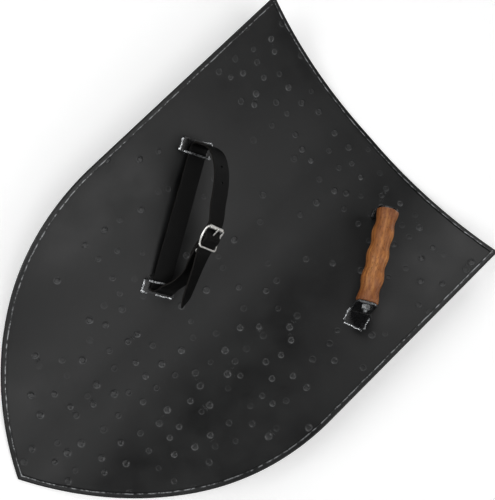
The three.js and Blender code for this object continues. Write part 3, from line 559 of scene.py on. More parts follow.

# ---------------------------------------------------------------------------------------------
# Weld beads, laid by hand round each foot: overlapping puddles of steel about 3 mm apart, with
# blobs where the torch stopped. They took little enamel and shine, but for the upper bracket's,
# which take the black enamel as painted shade for the grip's shadow.


def bead(place_of, angle, path, radius, blobs, seed):
    """A round section carried along a path on the sheet. Its radius swells with each puddle, a
    sine of the distance, and with slow unevenness; blobs add a bump (share of path, extra)."""
    path = np.asarray(path, float)
    run = np.concatenate([[0], np.cumsum(np.linalg.norm(np.diff(path, axis=0), axis=1))])
    s = np.linspace(0, run[-1], int(run[-1] / 0.4) + 2)
    line = np.stack([np.interp(s, run, path[:, 0]), np.interp(s, run, path[:, 1])], 1)
    line = np.stack([np.convolve(np.pad(c, 4, "edge"), np.ones(9) / 9, "valid") for c in line.T], 1)
    heading = np.gradient(line, axis=0)
    heading /= np.linalg.norm(heading, axis=1)[:, None]
    sideways = np.stack([-heading[:, 1], heading[:, 0]], 1)
    line += sideways * (0.35 * np.sin(s / 1.9 + seed))[:, None]
    puddles, uneven = np.sin(2 * np.pi * s / 3.1 + seed), np.sin(s / 3.7 + 2.1 * seed)
    size = 1.1 + 0.16 * puddles + 0.2 * uneven + 0.07 * np.sin(s / 0.9 + seed)
    for share, extra in blobs:
        size += extra * np.exp(-(((s - share * run[-1]) / 2.2) ** 2))
    size *= radius * np.sqrt(np.clip(np.minimum(s, run[-1] - s) / 1.6, 0.02, 1))
    turn = np.linspace(0, 2 * np.pi, 18, endpoint=False)[None]
    flat = line[:, None] + (size[:, None] * np.cos(turn))[..., None] * sideways[:, None]
    height = size[:, None] * 0.85 * np.sin(turn) + 0.25 + rise(angle, line[:, 0], line[:, 1])[:, None]
    return skin(place_of(np.concatenate([flat, height[..., None]], -1)))


# Bare weld metal, skinned with a thin scale in patches of 2.5 mm: bright, broken glints
weld, shader = finish_named("bright_weld_bead_steel")
shader.inputs["Metallic"].default_value = 1.0
place = node(weld, "TexCoord").outputs["Object"]
skim = node(weld, "TexNoise", {"Vector": place},
            {"Scale": 1 / (2.5 * MM), "Detail": 4, "Roughness": 0.6}).outputs["Fac"]
colour = node(weld, "ValToRGB", {"Fac": skim}, stops=((0.3, "#8d8f91"), (0.6, "#d2d4d6"))).outputs["Color"]
rough = node(weld, "ValToRGB", {"Fac": skim}, stops=((0.35, 0.24), (0.65, 0.12))).outputs["Color"]
lumps = node(weld, "Bump", {"Height": skim}, {"Strength": 0.1, "Distance": 0.3 * MM}).outputs["Normal"]
for socket, source in (("Base Color", colour), ("Roughness", rough), ("Normal", lumps)):
    weld.node_tree.links.new(source, shader.inputs[socket])

# Each bead's path round a foot, across and along its seat, with its radius, blobs and seed
upper, lower = KEEPER_INSIDE, -KEEPER_INSIDE
keeper_beads = {
    "weld_upper_keeper": (
        ([(-19.3, upper + 1), (-19.5, upper + 19)], 1.7, [(0.1, 0.4), (0.8, 0.5)], 0.3),
        ([(5, upper + 19.6), (19.2, upper + 19.8), (19.8, upper + 14)], 1.5, [(0.7, 0.6)], 1.9),
        ([(19.5, upper + 7), (19.4, upper + 0.5)], 1.6, [(0.5, 0.3)], 3.1),
    ),
    "weld_lower_keeper": (
        ([(-19.4, lower - 1), (-19.6, lower - 16.4), (-12, lower - 17)], 1.7, [(0.3, 0.5), (0.7, 0.7)], 4.2),
        ([(-4, lower - 17), (18.6, lower - 17.2)], 1.5, [(0.1, 0.3), (0.95, 0.7)], 5.5),
        ([(19.5, lower - 9), (19.4, lower - 1)], 1.5, [(0.4, 0.3)], 6.1),
    ),
}
foot = np.array([(-13.2, -2), (-13.4, -21), (-13.2, -22.9), (13.2, -22.9), (13.4, -21), (13.2, -3)])
cos, sin = np.cos(FOOT_TURN), np.sin(FOOT_TURN)
foot = foot @ np.array([[cos, sin], [-sin, cos]]) - [0, inside]
bracket_beads = {
    "weld_lower_bracket": (
        (foot[:2], 1.8, [(0.25, 0.5), (0.6, 0.5)], 0.9),
        (foot[2:4], 1.0, [(0.03, 2.1), (0.97, 2.4)], 2.2),
        (foot[4:], 1.4, [(0.2, 0.3), (0.85, 0.6)], 3.7),
    ),
    "weld_upper_bracket": (
        ([(-13.2, 62.5), (-13.3, 75.5)], 1.6, [(0.5, 0.4)], 0.2),
        ([(-10, 76.2), (11, 76.2)], 1.4, [(0.9, 0.6)], 1.4),
        ([(13.2, 75), (13.2, 62.5)], 1.5, [(0.3, 0.4)], 2.6),
    ),
}
for place_of, angle, beads in ((belt_seat, BELT_ANGLE, keeper_beads), (grip_seat, GRIP_ANGLE, bracket_beads)):
    for name, runs in beads.items():
        mesh = mesh_of(name, *together(*(bead(place_of, angle, *run) for run in runs)))
        # Upper bracket beads take black enamel: painted shade for the grip's shadow
        piece(name, mesh, [], hardware if name == "weld_upper_bracket" else weld, 60)

# ---------------------------------------------------------------------------------------------
# The grip is turned from a length of beech with four finger grooves, bored through for its rod,
# stained red-brown and oiled. It is held between the brackets by the screw alone.


def turned_grip():
    """A lathe about the rod's axis. The radius follows a cosine from crest to groove; the ends
    are rounded over, and the bore closes the section. Returns points, faces, grain place."""
    half, crest, groove, over, grooves = GRIP_HALF, 14.0, 12.0, 1.8, 4
    quarter = np.linspace(0, np.pi / 2, 8)[1:]
    y = np.linspace(-half + over, half - over, 150)
    along = 2 * np.pi * grooves * (y + half - over) / (2 * half - 2 * over)
    wave = groove + (crest - groove) * (1 + np.cos(along)) / 2
    start = np.stack([crest - over + over * np.sin(quarter), -half + over - over * np.cos(quarter)], 1)[:-1]
    face = np.stack([np.linspace(BORE, crest - over, 10), np.full(10, -half)], 1)
    bore = np.stack([np.full(20, BORE), np.linspace(half, -half, 22)[1:-1]], 1)
    end = np.concatenate([face, start])
    profile = np.concatenate([end, np.stack([wave, y], 1), end[::-1] * [1, -1], bore])
    rings = lathe(profile, 96)
    radius = np.hypot(rings[..., 0], rings[..., 2])[..., None]
    turn = np.arctan2(rings[..., 0], rings[..., 2])
    uneven = 0.12 * (np.sin(2 * turn + rings[..., 1] / 17) - 1) * smooth(radius[..., 0], 9, 12)
    rings[..., ::2] *= 1 + uneven[..., None] / radius
    points, faces = skin(rings, closed=True)
    return points + [0, 0, GRIP_LEVEL], faces, points * MM


# Beech stained red-brown and oiled: a warm brown with darker streaks and flecks along the grain,
# and a soft sheen that the open pores dull. It reads its own lengthwise place, so the figure
# follows the grip.
wood, shader = finish_named("oiled_red_brown_beech")
grain = node(wood, "Attribute", attribute_name="grain").outputs["Vector"]
# Growth rings round a pith outside the grip, drawn out along its length. They are about 2.5 mm
# apart in beech and drawn 5 mm apart to show. A wave's crests are 0.314 apart at a scale of 1.
from_pith = node(wood, "Mapping", {"Vector": grain}, {"Location": (0.021, 0, 0.015), "Scale": (1, 0.06, 1)})
ringed = node(wood, "TexWave", {"Vector": from_pith.outputs[0]},
              {"Scale": 0.314 / (5 * MM), "Distortion": 5.0, "Detail": 3.0, "Detail Scale": 1.5},
              wave_type="RINGS", rings_direction="Y").outputs["Fac"]
# Pores and ray flecks: dark dashes 0.3 mm wide in real beech, drawn about 1 mm wide to show
stretched = node(wood, "Mapping", {"Vector": grain},
                 {"Scale": (1 / (1.1 * MM), 1 / (4.5 * MM), 1 / (1.1 * MM))}).outputs[0]
pores = node(wood, "TexNoise", {"Vector": stretched}, {"Scale": 1.0, "Detail": 3, "Roughness": 0.6})
pores = pores.outputs["Fac"]
# Streaks 3.5 mm wide and 50 mm long where the stain took unevenly
streaky = node(wood, "Mapping", {"Vector": grain},
               {"Scale": (1 / (3.5 * MM), 1 / (50 * MM), 1 / (3.5 * MM))}).outputs[0]
streaks = node(wood, "TexNoise", {"Vector": streaky}, {"Scale": 1.0, "Detail": 4, "Roughness": 0.6})
stains = ((0.25, "#77431f"), (0.42, "#a1622e"), (0.58, "#bb7a3f"), (0.78, "#cd9254"))
body = node(wood, "ValToRGB", {"Fac": streaks.outputs["Fac"]}, stops=stains).outputs["Color"]
late = node(wood, "ValToRGB", {"Fac": ringed}, stops=((0.35, 0.0), (0.9, 0.4))).outputs["Color"]
colour = node(wood, "Mix", {0: late, 6: body}, {7: linear("#7a4520")}, data_type="RGBA").outputs[2]
fleck = node(wood, "ValToRGB", {"Fac": pores}, stops=((0.32, 0.65), (0.47, 0.0))).outputs["Color"]
colour = node(wood, "Mix", {0: fleck, 6: colour}, {7: linear("#4a260f")}, data_type="RGBA").outputs[2]
# The end grain drank more stain
length = node(wood, "SeparateXYZ", {"Vector": grain}).outputs["Y"]
length = node(wood, "Math", {0: length}, operation="ABSOLUTE").outputs[0]
to_end = node(wood, "MapRange", {"Value": length},
              {"From Min": 30 * MM, "From Max": GRIP_HALF * MM}).outputs[0]
to_end = node(wood, "ValToRGB", {"Fac": to_end}, stops=((0.0, 0.0), (1.0, 0.5))).outputs["Color"]
colour = node(wood, "Mix", {0: to_end, 6: colour}, {7: linear("#5e2814")}, data_type="RGBA").outputs[2]
rough = node(wood, "ValToRGB", {"Fac": pores}, stops=((0.3, 0.62), (0.6, 0.42))).outputs["Color"]
fibre = node(wood, "Bump", {"Height": pores}, {"Strength": 0.35, "Distance": 0.2 * MM}).outputs["Normal"]
for socket, source in (("Base Color", colour), ("Roughness", rough), ("Normal", fibre)):
    wood.node_tree.links.new(source, shader.inputs[socket])

points, faces, grain_place = turned_grip()
mesh = mesh_of("wooden_grip", grip_seat(points), faces, {"grain": grain_place})
piece("wooden_grip", mesh, ["grip"], wood)

# ---------------------------------------------------------------------------------------------
# A countersunk M6 machine screw runs through both brackets and the grip, with a hexagon nut at
# the lower end. Both are steel with bright zinc plating.
ROD, HEAD, NUT_CORNER, NUT_LONG, PROUD, PITCH = 3.0, 5.35, 5.6, 6.0, 3.5, 1.0
tip_end = -(outside + GAP + NUT_LONG + PROUD)


def screw():
    """Rings along the screw: cone head, plain shank, then a thread whose radius is a triangle
    wave of the distance less the turn, one pitch each round."""
    head_top = outside - GAP
    shank = np.linspace(inside, -inside + 12, 12)[1:]
    y = np.concatenate([np.linspace(head_top, inside + 0.1, 6), shank,
                        np.arange(-inside + 11.9, tip_end + 0.5, -0.11),
                        np.linspace(tip_end + 0.4, tip_end, 4)])
    turn = np.linspace(0, 2 * np.pi, 40, endpoint=False)
    phase = (y[:, None] / PITCH + turn / (2 * np.pi)) % 1.0
    cut = 0.62 * (1 - np.abs(2 * phase - 1)) * smooth(-y, inside - 13, inside - 11)[:, None]
    radius = ROD - cut - 0.7 * smooth(-y, -tip_end - 0.8, -tip_end)[:, None]
    cone = np.interp(y, [inside, head_top], [ROD, HEAD]) * (y > inside)
    radius = np.maximum(radius, cone[:, None])
    up = GRIP_LEVEL + radius * np.cos(turn)
    return skin(np.stack([radius * np.sin(turn), y[:, None] + 0 * radius, up], -1))


def hexagon_nut():
    """Rings round a hexagon: its radius is the flat's distance over the cosine of the turn from
    the flat's middle, held inside a cone at both faces; the bore is threaded."""
    flat = NUT_CORNER * np.cos(np.pi / 6)
    turn = np.linspace(0, 2 * np.pi, 96, endpoint=False)
    hexagon = flat / np.cos((turn + 2 * np.pi) % (np.pi / 3) - np.pi / 6)
    depth = np.array([0, 0.12, 0.3, 0.55, 0.9, 3.0, 5.1, 5.45, 5.7, 5.88, NUT_LONG])
    cone = flat * 0.97 + np.minimum(depth, NUT_LONG - depth) * 1.75
    side = np.minimum(hexagon[None], np.minimum(cone, NUT_CORNER)[:, None])
    inner = np.arange(NUT_LONG, -0.01, -0.125)
    phase = (inner[:, None] / PITCH + turn / (2 * np.pi)) % 1.0
    thread = BORE - 0.35 * np.abs(2 * phase - 1)
    radius = np.concatenate([(side[:1] + BORE) / 2, side, (side[-1:] + BORE) / 2, thread])
    place = -(outside + GAP) - np.concatenate([[0], depth, [NUT_LONG], inner])[:, None]
    up = GRIP_LEVEL + radius * np.cos(turn)
    return skin(np.stack([radius * np.sin(turn), place + 0 * radius, up], -1), closed=True)


# Bright zinc plating over turned steel: a pale grey metal, clouded over 2 mm by handling
zinc, shader = finish_named("bright_zinc_plated_steel")
place = node(zinc, "TexCoord").outputs["Object"]
film = node(zinc, "TexNoise", {"Vector": place},
            {"Scale": 1 / (2 * MM), "Detail": 4, "Roughness": 0.65}).outputs["Fac"]
colour = node(zinc, "ValToRGB", {"Fac": film}, stops=((0.3, "#8d8f90"), (0.7, "#c3c5c6"))).outputs["Color"]
rough = node(zinc, "ValToRGB", {"Fac": film}, stops=((0.3, 0.42), (0.7, 0.24))).outputs["Color"]
for socket, source in (("Base Color", colour), ("Roughness", rough)):
    zinc.node_tree.links.new(source, shader.inputs[socket])
shader.inputs["Metallic"].default_value = 1.0

points, faces = screw()
screw_blank = mesh_of("screw_blank", grip_seat(points), faces)
# The driver slot, 1.4 mm wide, cut across the head
slot = [[(x, y, GRIP_LEVEL + z) for x, z in ((-0.7, -7), (0.7, -7), (0.7, 7), (-0.7, 7))]
        for y in (inside + 1.1, inside + 4)]
points, faces = skin(slot)
mesh = joined("grip_screw", screw_blank, mesh_of("slot", grip_seat(points), faces))
piece("grip_screw", mesh, ["handle_bolt"], zinc, 35)
points, faces = hexagon_nut()
piece("grip_nut", mesh_of("grip_nut", grip_seat(points), faces), ["handle_nut"], zinc, 25)

# ---------------------------------------------------------------------------------------------
# The buckle is bent from nickel-plated wire: a frame bowed up at both ends with a bar across its
# middle, a roller on the end that the strap pulls over, and a prong of flattened wire.
STRAP, THICK, SKIVED, STRAP_GAP = 23.0, 2.4, 1.4, 0.4
WIRE, REACH, BOW, CORNER, ROLLER = 1.35, 13.0, 3.0, 3.4, 2.6
HALF_WIDE = STRAP / 2 + 1 + WIRE
LOOP, LOOP_LEAN, BUCKLE_LEAN = 56.9, np.radians(20), np.radians(24)
SLOT_PLACE = KEEPER_INSIDE + KEEPER_THICK / 2
LEVEL = rise(BELT_ANGLE, 0, SLOT_PLACE) + SLOT_LEVEL


def about_y(points, lean):
    """Points turned about the belt's own line by lean, one angle or one for each point."""
    x, y, z = np.moveaxis(np.asarray(points, float), -1, 0)
    return np.stack([x * np.cos(lean) + z * np.sin(lean), y, z * np.cos(lean) - x * np.sin(lean)], -1)


def in_loop(points):
    """From the buckle's own axes, X across the strap, Y back to the roller and Z out of its face,
    to the upright loop: tilted 8 degrees along the strap, turned 6 degrees in its plane."""
    tilt, turn = np.radians(8), np.radians(-6)
    x, y, z = np.moveaxis(np.asarray(points, float), -1, 0)
    y = y - REACH
    y, z = y * np.cos(tilt) - z * np.sin(tilt), y * np.sin(tilt) + z * np.cos(tilt)
    x, y = x * np.cos(turn) - y * np.sin(turn), x * np.sin(turn) + y * np.cos(turn)
    return np.stack([x, y + 0.6, z + LEVEL + LOOP], -1)


def buckle_seat(points):
    """From the buckle's own axes into place."""
    return belt_seat(about_y(in_loop(points), BUCKLE_LEAN))


def wire_frame():
    """The frame: a round section carried along a rounded rectangle, bowed by the square of the
    distance from its bar. The section's axes come from the heading and the upward direction."""
    quarter = np.linspace(0, np.pi / 2, 14)
    wide, tall = HALF_WIDE - CORNER, REACH - CORNER
    corners = [np.stack([a * wide + CORNER * np.cos(quarter + t), b * tall + CORNER * np.sin(quarter + t)], 1)
               for a, b, t in ((1, 1, 0), (-1, 1, np.pi / 2), (-1, -1, np.pi), (1, -1, 1.5 * np.pi))]
    runs = [np.linspace(a[-1], b[0], 16)[1:-1] for a, b in zip(corners, corners[1:] + corners[:1])]
    flat = np.concatenate([p for pair in zip(corners, runs) for p in pair])
    bowed = BOW * np.minimum(1, np.abs(flat[:, 1]) / (REACH - 1)) ** 2
    path = np.column_stack([flat, bowed])
    ahead = np.roll(path, -1, 0) - np.roll(path, 1, 0)
    ahead /= np.linalg.norm(ahead, axis=1)[:, None]
    turn = np.linspace(0, 2 * np.pi, 20, endpoint=False)[None, :, None]
    outward = np.cross(ahead, [0, 0, 1])
    outward /= np.linalg.norm(outward, axis=1)[:, None]
    upward = np.cross(outward, ahead)
    round_wire = WIRE * np.cos(turn) * outward[:, None] + WIRE * np.sin(turn) * upward[:, None]
    return skin(path[:, None] + round_wire, closed=True)


def prong():
    """Flattened wire, coiled round the middle bar and run out over the roller. The section is
    wide and thin in the coil, round in the shaft and blunt at the tip."""
    coil = WIRE + GAP + 0.72
    turn = np.radians(np.linspace(-235, 62, 60))
    start, end = np.array([1.35, 1.95]), np.array([15.2, BOW + ROLLER + 1.1 + 2.3])
    share = np.linspace(0, 1, 50)[1:, None]
    shaft = start + (end - start) * share
    shaft[:, 1] += -0.35 * np.sin(np.pi * share[:, 0])
    line = np.concatenate([coil * np.stack([np.cos(turn), np.sin(turn)], 1), shaft])
    line = np.stack([np.convolve(np.pad(c, 3, "edge"), np.ones(7) / 7, "valid") for c in line.T], 1)
    ahead = np.gradient(line, axis=0)
    ahead /= np.linalg.norm(ahead, axis=1)[:, None]
    along = np.arange(len(line))
    blend = smooth(along, 45, 75)
    blunt = np.sqrt(np.clip((len(line) - 1 - along) / 4, 0.06, 1))
    wide, thin = (1.5 + (1.05 - 1.5) * blend) * blunt, (0.66 + (0.95 - 0.66) * blend) * blunt
    ring = np.linspace(0, 2 * np.pi, 20, endpoint=False)[None]
    x = wide[:, None] * np.cos(ring)
    out = thin[:, None] * np.sin(ring)
    y = line[:, :1] - out * ahead[:, 1:]
    z = line[:, 1:] + out * ahead[:, :1]
    return skin(np.stack([x, y, z], -1))


# Nickel plate on drawn wire: a warm, pale metal with long sharp glints, scuffed over 1.5 mm
nickel, shader = finish_named("nickel_plated_steel_wire")
place = node(nickel, "TexCoord").outputs["Object"]
scuff = node(nickel, "TexNoise", {"Vector": place},
             {"Scale": 1 / (1.5 * MM), "Detail": 4, "Roughness": 0.6}).outputs["Fac"]
colour = node(nickel, "ValToRGB", {"Fac": scuff}, stops=((0.3, "#dddcd8"), (0.7, "#f2f1ee"))).outputs["Color"]
rough = node(nickel, "ValToRGB", {"Fac": scuff}, stops=((0.3, 0.24), (0.7, 0.36))).outputs["Color"]
for socket, source in (("Base Color", colour), ("Roughness", rough)):
    nickel.node_tree.links.new(source, shader.inputs[socket])
shader.inputs["Metallic"].default_value = 1.0

points, faces = wire_frame()
frame_wire = mesh_of("frame_wire", buckle_seat(points), faces)
points, faces = skin(lathe([(WIRE, x) for x in np.linspace(-HALF_WIDE, HALF_WIDE, 24)], 24, "x"))
mesh = joined("wire_buckle", frame_wire, mesh_of("bar", buckle_seat(points), faces), "UNION")
piece("wire_buckle", mesh, ["buckle_frame"], nickel, 60)

# The roller is a rolled tube, so its ends are rounded and a fine seam runs along it
half = HALF_WIDE - CORNER - 0.2
lip = np.linspace(0, np.pi / 2, 6)
outer = np.concatenate([[(WIRE + GAP, -half + 0.2), (WIRE + GAP + 0.3, -half)],
                        np.stack([ROLLER - 0.45 + 0.45 * np.sin(lip), -half + 0.45 - 0.45 * np.cos(lip)], 1),
                        np.stack([np.full(20, ROLLER), np.linspace(-half + 0.6, half - 0.6, 20)], 1),
                        np.stack([ROLLER - 0.45 + 0.45 * np.cos(lip), half - 0.45 + 0.45 * np.sin(lip)], 1),
                        [(WIRE + GAP + 0.3, half), (WIRE + GAP, half - 0.2)]])
rings = lathe(outer, 72, "x")
from_seam = (np.arctan2(rings[..., 1], rings[..., 2]) + 2.2) / 0.07
seam = 0.09 * np.exp(-(from_seam**2)) * (np.hypot(rings[..., 1], rings[..., 2]) > 2.1)
rings[..., 1:] *= 1 - seam[..., None]
points, faces = skin(rings, closed=True)
mesh = mesh_of("buckle_tube", buckle_seat(points + [0, REACH, BOW]), faces)
piece("buckle_tube", mesh, ["buckle_roller"], nickel, 40)
points, faces = prong()
piece("prong", mesh_of("prong", buckle_seat(points), faces), ["buckle_prong"], nickel, 60)

# ---------------------------------------------------------------------------------------------
# The arm belt is one strap of black dyed harness leather, 2.4 mm thick and 23 mm wide. It folds
# round the buckle's bar, where it is skived and riveted, runs through both keepers, taut over the
# sheet, and over the forearm to the buckle, where its pointed tail hangs free.


def catmull_rom(points, t):
    """A centripetal Catmull-Rom curve through points, at t in spans from the first, with its
    tangent. Each span's ends take their slopes from the square roots of the chords beside it."""
    points = np.concatenate([[2 * points[0] - points[1]], points, [2 * points[-1] - points[-2]]])
    i = np.minimum(t.astype(int), len(points) - 4)
    w = (t - i)[:, None]
    p0, p1, p2, p3 = (points[i + n] for n in range(4))
    d0, d1, d2 = (np.sqrt(np.linalg.norm(b - a, axis=1))[:, None] for a, b in ((p0, p1), (p1, p2), (p2, p3)))
    slope1 = d1 * ((p1 - p0) / d0 - (p2 - p0) / (d0 + d1) + (p2 - p1) / d1)
    slope2 = d1 * ((p2 - p1) / d1 - (p3 - p1) / (d1 + d2) + (p3 - p2) / d2)
    c2, c3 = -3 * p1 + 3 * p2 - 2 * slope1 - slope2, 2 * p1 - 2 * p2 + slope1 + slope2
    ahead = slope1 + w * (2 * c2 + w * 3 * c3)
    return p1 + w * (slope1 + w * (c2 + w * c3)), ahead / np.linalg.norm(ahead, axis=1)[:, None]


fold = WIRE + GAP + SKIVED / 2
over_bar = fold + SKIVED / 2 + THICK / 2 + STRAP_GAP
under_roller = BOW - ROLLER - THICK / 2 - STRAP_GAP
under_end = BOW - WIRE - THICK / 2 - STRAP_GAP
rivet_level = under_end - THICK - 1 - 3 * STRAP_GAP
TAIL, TAIL_POINT = 88.0, 16.0
HOLE, OPEN_HOLES = 1.6, (68.0, 87.8)
RIVET, RIVET_HEAD, RIVET_BACK, RIVET_SPREAD = 1.4, 2.5, 19.0, 8.0


def strap_line():
    """The strap's middle line in the belt's upright plane, as points that the curve runs through,
    and the number of the point at which each stretch of it begins."""
    def keeper(side, shares, size):
        shares = np.array(shares)
        along, over = SLOT_PLACE + shares[:, 0] * size, LEVEL + shares[:, 1] * size
        return np.column_stack([0 * along, side * along, over])

    def by_buckle(*places):
        past, over = np.array(places, float).T
        return in_loop(np.column_stack([0 * past, -past, over]))

    turn = np.radians([-80, -110, -145, -180, -215, -250, -278])
    layer, end = (THICK + SKIVED) / 2 + STRAP_GAP, RIVET_BACK + 8
    folded = np.concatenate([
        by_buckle((end, rivet_level - layer - WIRE / 2), (RIVET_BACK, rivet_level - layer),
                  (REACH, rivet_level - layer + WIRE / 2), (0.4 * REACH, -fold - WIRE)),
        by_buckle(*zip(fold * np.cos(turn), fold * np.sin(turn))),
        by_buckle((0.25 * REACH, fold - 0.75 * WIRE), (0.5 * REACH, fold - 2.1 * WIRE),
                  (REACH, rivet_level + 0.8 * WIRE), (RIVET_BACK, rivet_level),
                  (end, rivet_level - WIRE / 2)),
    ])
    before = np.concatenate([
        folded,
        keeper(-1, [[-0.4, 0.65], [-0.14, 0.43], [0.05, 0.27]], LOOP),
        keeper(-1, [[0.88, 1], [1, 0.58], [0.86, 0.2], [0.5, 0.03], [0, 0]], 11.0),
        keeper(-1, [[-0.5, 0], [-1, 0]], SLOT_PLACE), keeper(1, [[-0.5, 0], [0, 0]], SLOT_PLACE),
        keeper(1, [[0.45, 0.02], [0.82, 0.2], [1, 0.6], [1.02, 1.1]], 13.5),
        keeper(1, [[0.17, 0.5], [0.045, 0.66], [-0.19, 0.83], [-0.4, 0.92], [-0.68, 0.98], [-0.99, 1.01]],
               LOOP),
    ])
    over = by_buckle(
        (-1.65 * REACH, under_roller - 0.2 * WIRE), (-1.15 * REACH, under_roller),
        (-0.8 * REACH, under_roller),
        (-0.5 * REACH, (under_roller + over_bar) / 2 - 0.6 * WIRE), (0, over_bar),
        (0.5 * REACH, (under_end + over_bar) / 2 + WIRE / 3), (REACH, under_end), (0.23 * TAIL, under_end),
        (0.42 * TAIL, under_end + 0.02 * TAIL), (0.84 * TAIL, under_end + 0.06 * TAIL),
        (TAIL, under_end + 0.06 * TAIL))
    return np.concatenate([before, over]), len(folded) - 6, len(folded) - 1, len(before)


def strap_stations(per_span=14):
    """Where the strap is at each station, with its axes, lean, twist, width and thickness: it
    lies with the sheet by the keepers, leans with the loop above, and turns to the buckle."""
    line, folded_from, folded_to, loop_to = strap_line()
    spans = len(line) - 1
    t = np.linspace(0, spans, spans * per_span + 1)
    middle, ahead = catmull_rom(line, t)
    y, z = middle[:, 1], middle[:, 2]
    raised = smooth(z - LEVEL, 0.04 * LOOP, 0.46 * LOOP)
    leaning = smooth(SLOT_PLACE - y, 0.6 * SLOT_PLACE, SLOT_PLACE)
    turned = 1 - smooth(t, folded_to, folded_to + 3) + smooth(t, loop_to - 3, loop_to + 1)
    buckle_across = in_loop([[1.0, 0, 0]])[0] - in_loop([[0.0, 0, 0]])[0]
    across = np.array([1.0, 0, 0]) + (buckle_across - [1, 0, 0]) * turned[:, None]
    across -= np.sum(across * ahead, 1, keepdims=True) * ahead
    across /= np.linalg.norm(across, axis=1)[:, None]
    reach = -np.clip(y, -SLOT_PLACE, SLOT_PLACE) * np.sin(BELT_ANGLE)
    lying = -np.arctan(reach / np.sqrt((BEND - SHEET) ** 2 - reach**2) * np.cos(BELT_ANGLE))
    lean = lying + (LOOP_LEAN + (BUCKLE_LEAN - LOOP_LEAN) * leaning - lying) * raised
    tail_from = loop_to + 6
    twist = np.radians(30) * smooth(t, tail_from, spans)
    left = np.linalg.norm(middle - middle[-1], axis=1)
    pointed = np.where(t > tail_from, np.minimum(1, (left + 0.6) / TAIL_POINT), 1)
    half_width = STRAP / 2 * np.sin(pointed * np.pi / 2)
    half_thick = (SKIVED + (THICK - SKIVED) * smooth(t, folded_from, folded_from + 4)) / 2
    return {"t": t, "middle": middle, "across": across, "normal": np.cross(across, ahead), "lean": lean,
            "twist": twist, "half_width": half_width, "half_thick": half_thick, "bar": loop_to + 4}


def on_strap(s, across, out):
    """Points given across each station and out of its face, in the belt seat's axes."""
    twist, lean = s["twist"][:, None], s["lean"][:, None]
    shift = out + across * np.sin(twist)
    sideways = (across * np.cos(twist))[..., None] * s["across"][:, None]
    return about_y(s["middle"][:, None] + shift[..., None] * s["normal"][:, None] + sideways, lean)


def strap():
    """The section carried along the stations. Its edges are bevelled and marked, and its faces
    ripple faintly along its length. Returns points, faces and flat place."""
    s = strap_stations()
    across, out = bar_section(s["half_width"], s["half_thick"], 0.62, 14, 5)
    run = np.concatenate([[0], np.cumsum(np.linalg.norm(np.diff(s["middle"], axis=0), axis=1))])
    half_width = s["half_width"][:, None]
    face = np.sign(out) * (1 - smooth(np.abs(across), 0.93 * half_width, half_width))
    across = across * (1 + 0.006 * np.sin(run / 9.0) + 0.004 * np.sin(run / 3.7 + 1))[:, None]
    rings = on_strap(s, across, out + 0.05 * face * np.sin(run / 5.3)[:, None])
    points, faces = skin(belt_seat(rings))
    flat = np.stack([np.broadcast_to(run[:, None], across.shape), across, out], -1).reshape(-1, 3)
    edge = smooth(np.abs(across) / half_width, 0.965, 1.0).reshape(-1)
    flat = np.concatenate([flat, flat[:1], flat[-1:]])
    return s, run, points, faces, flat * MM, np.concatenate([edge, [1, 1]])


def punched_hole(s, run, back):
    """A round punch through the strap, at a distance back along it from the buckle's bar."""
    at_bar = np.interp(s["bar"], s["t"], run)
    i = int(np.argmin(np.abs(run - (at_bar - back))))
    one = {k: (v[i:i + 1] if isinstance(v, np.ndarray) else v) for k, v in s.items()}
    turn = np.linspace(0, 2 * np.pi, 24, endpoint=False)
    origin = on_strap(one, np.array([[0]]), np.array([[0]]))[0, 0]
    x_axis = on_strap(one, np.array([[1]]), np.array([[0]]))[0, 0] - origin
    z_axis = on_strap(one, np.array([[0]]), np.array([[1]]))[0, 0] - origin
    y_axis = np.cross(z_axis, x_axis)
    circle = HOLE * (np.cos(turn)[:, None] * x_axis + np.sin(turn)[:, None] * y_axis)
    return skin(belt_seat(np.stack([origin - 3 * z_axis + circle, origin + 3 * z_axis + circle])))


# Drum-dyed leather, waxed on the grain side: near black and almost matt, with a fine pebbled
# grain drawn at 0.7 mm, pull-up in patches of about 11 mm, and edges where the dye is thinner and
# 0.8 mm fibre shows.
leather, shader = finish_named("black_harness_leather")
shader.inputs["Specular IOR Level"].default_value = 0.16
flat_place = node(leather, "Attribute", attribute_name="flat").outputs["Vector"]
edge = node(leather, "Attribute", attribute_name="edge").outputs["Fac"]
pebble = node(leather, "TexVoronoi", {"Vector": flat_place},
              {"Scale": 1 / (0.7 * MM), "Randomness": 1.0}, feature="SMOOTH_F1").outputs["Distance"]
pull = node(leather, "TexNoise", {"Vector": flat_place},
            {"Scale": 1 / (11 * MM), "Detail": 4, "Roughness": 0.6}).outputs["Fac"]
fibre = node(leather, "TexNoise", {"Vector": flat_place},
             {"Scale": 1 / (0.8 * MM), "Detail": 3}).outputs["Fac"]
dye = node(leather, "ValToRGB", {"Fac": pull}, stops=((0.3, "#030303"), (0.72, "#080808"))).outputs["Color"]
raw = node(leather, "ValToRGB", {"Fac": fibre}, stops=((0.35, "#0d0c0b"), (0.7, "#211e1b"))).outputs["Color"]
colour = node(leather, "Mix", {0: edge, 6: dye, 7: raw}, data_type="RGBA").outputs[2]
rough = node(leather, "ValToRGB", {"Fac": pull}, stops=((0.3, 0.5), (0.7, 0.64))).outputs["Color"]
height = node(leather, "Math", {0: pebble, 1: fibre}, operation="ADD").outputs[0]
grain = node(leather, "Bump", {"Height": height}, {"Strength": 0.25, "Distance": 0.1 * MM}).outputs["Normal"]
for socket, source in (("Base Color", colour), ("Roughness", rough), ("Normal", grain)):
    leather.node_tree.links.new(source, shader.inputs[socket])

stations, run, points, faces, flat, edges = strap()
mesh = mesh_of("strap", points, faces, {"flat": flat, "edge": edges})
holes = [punched_hole(stations, run, back) for back in OPEN_HOLES]
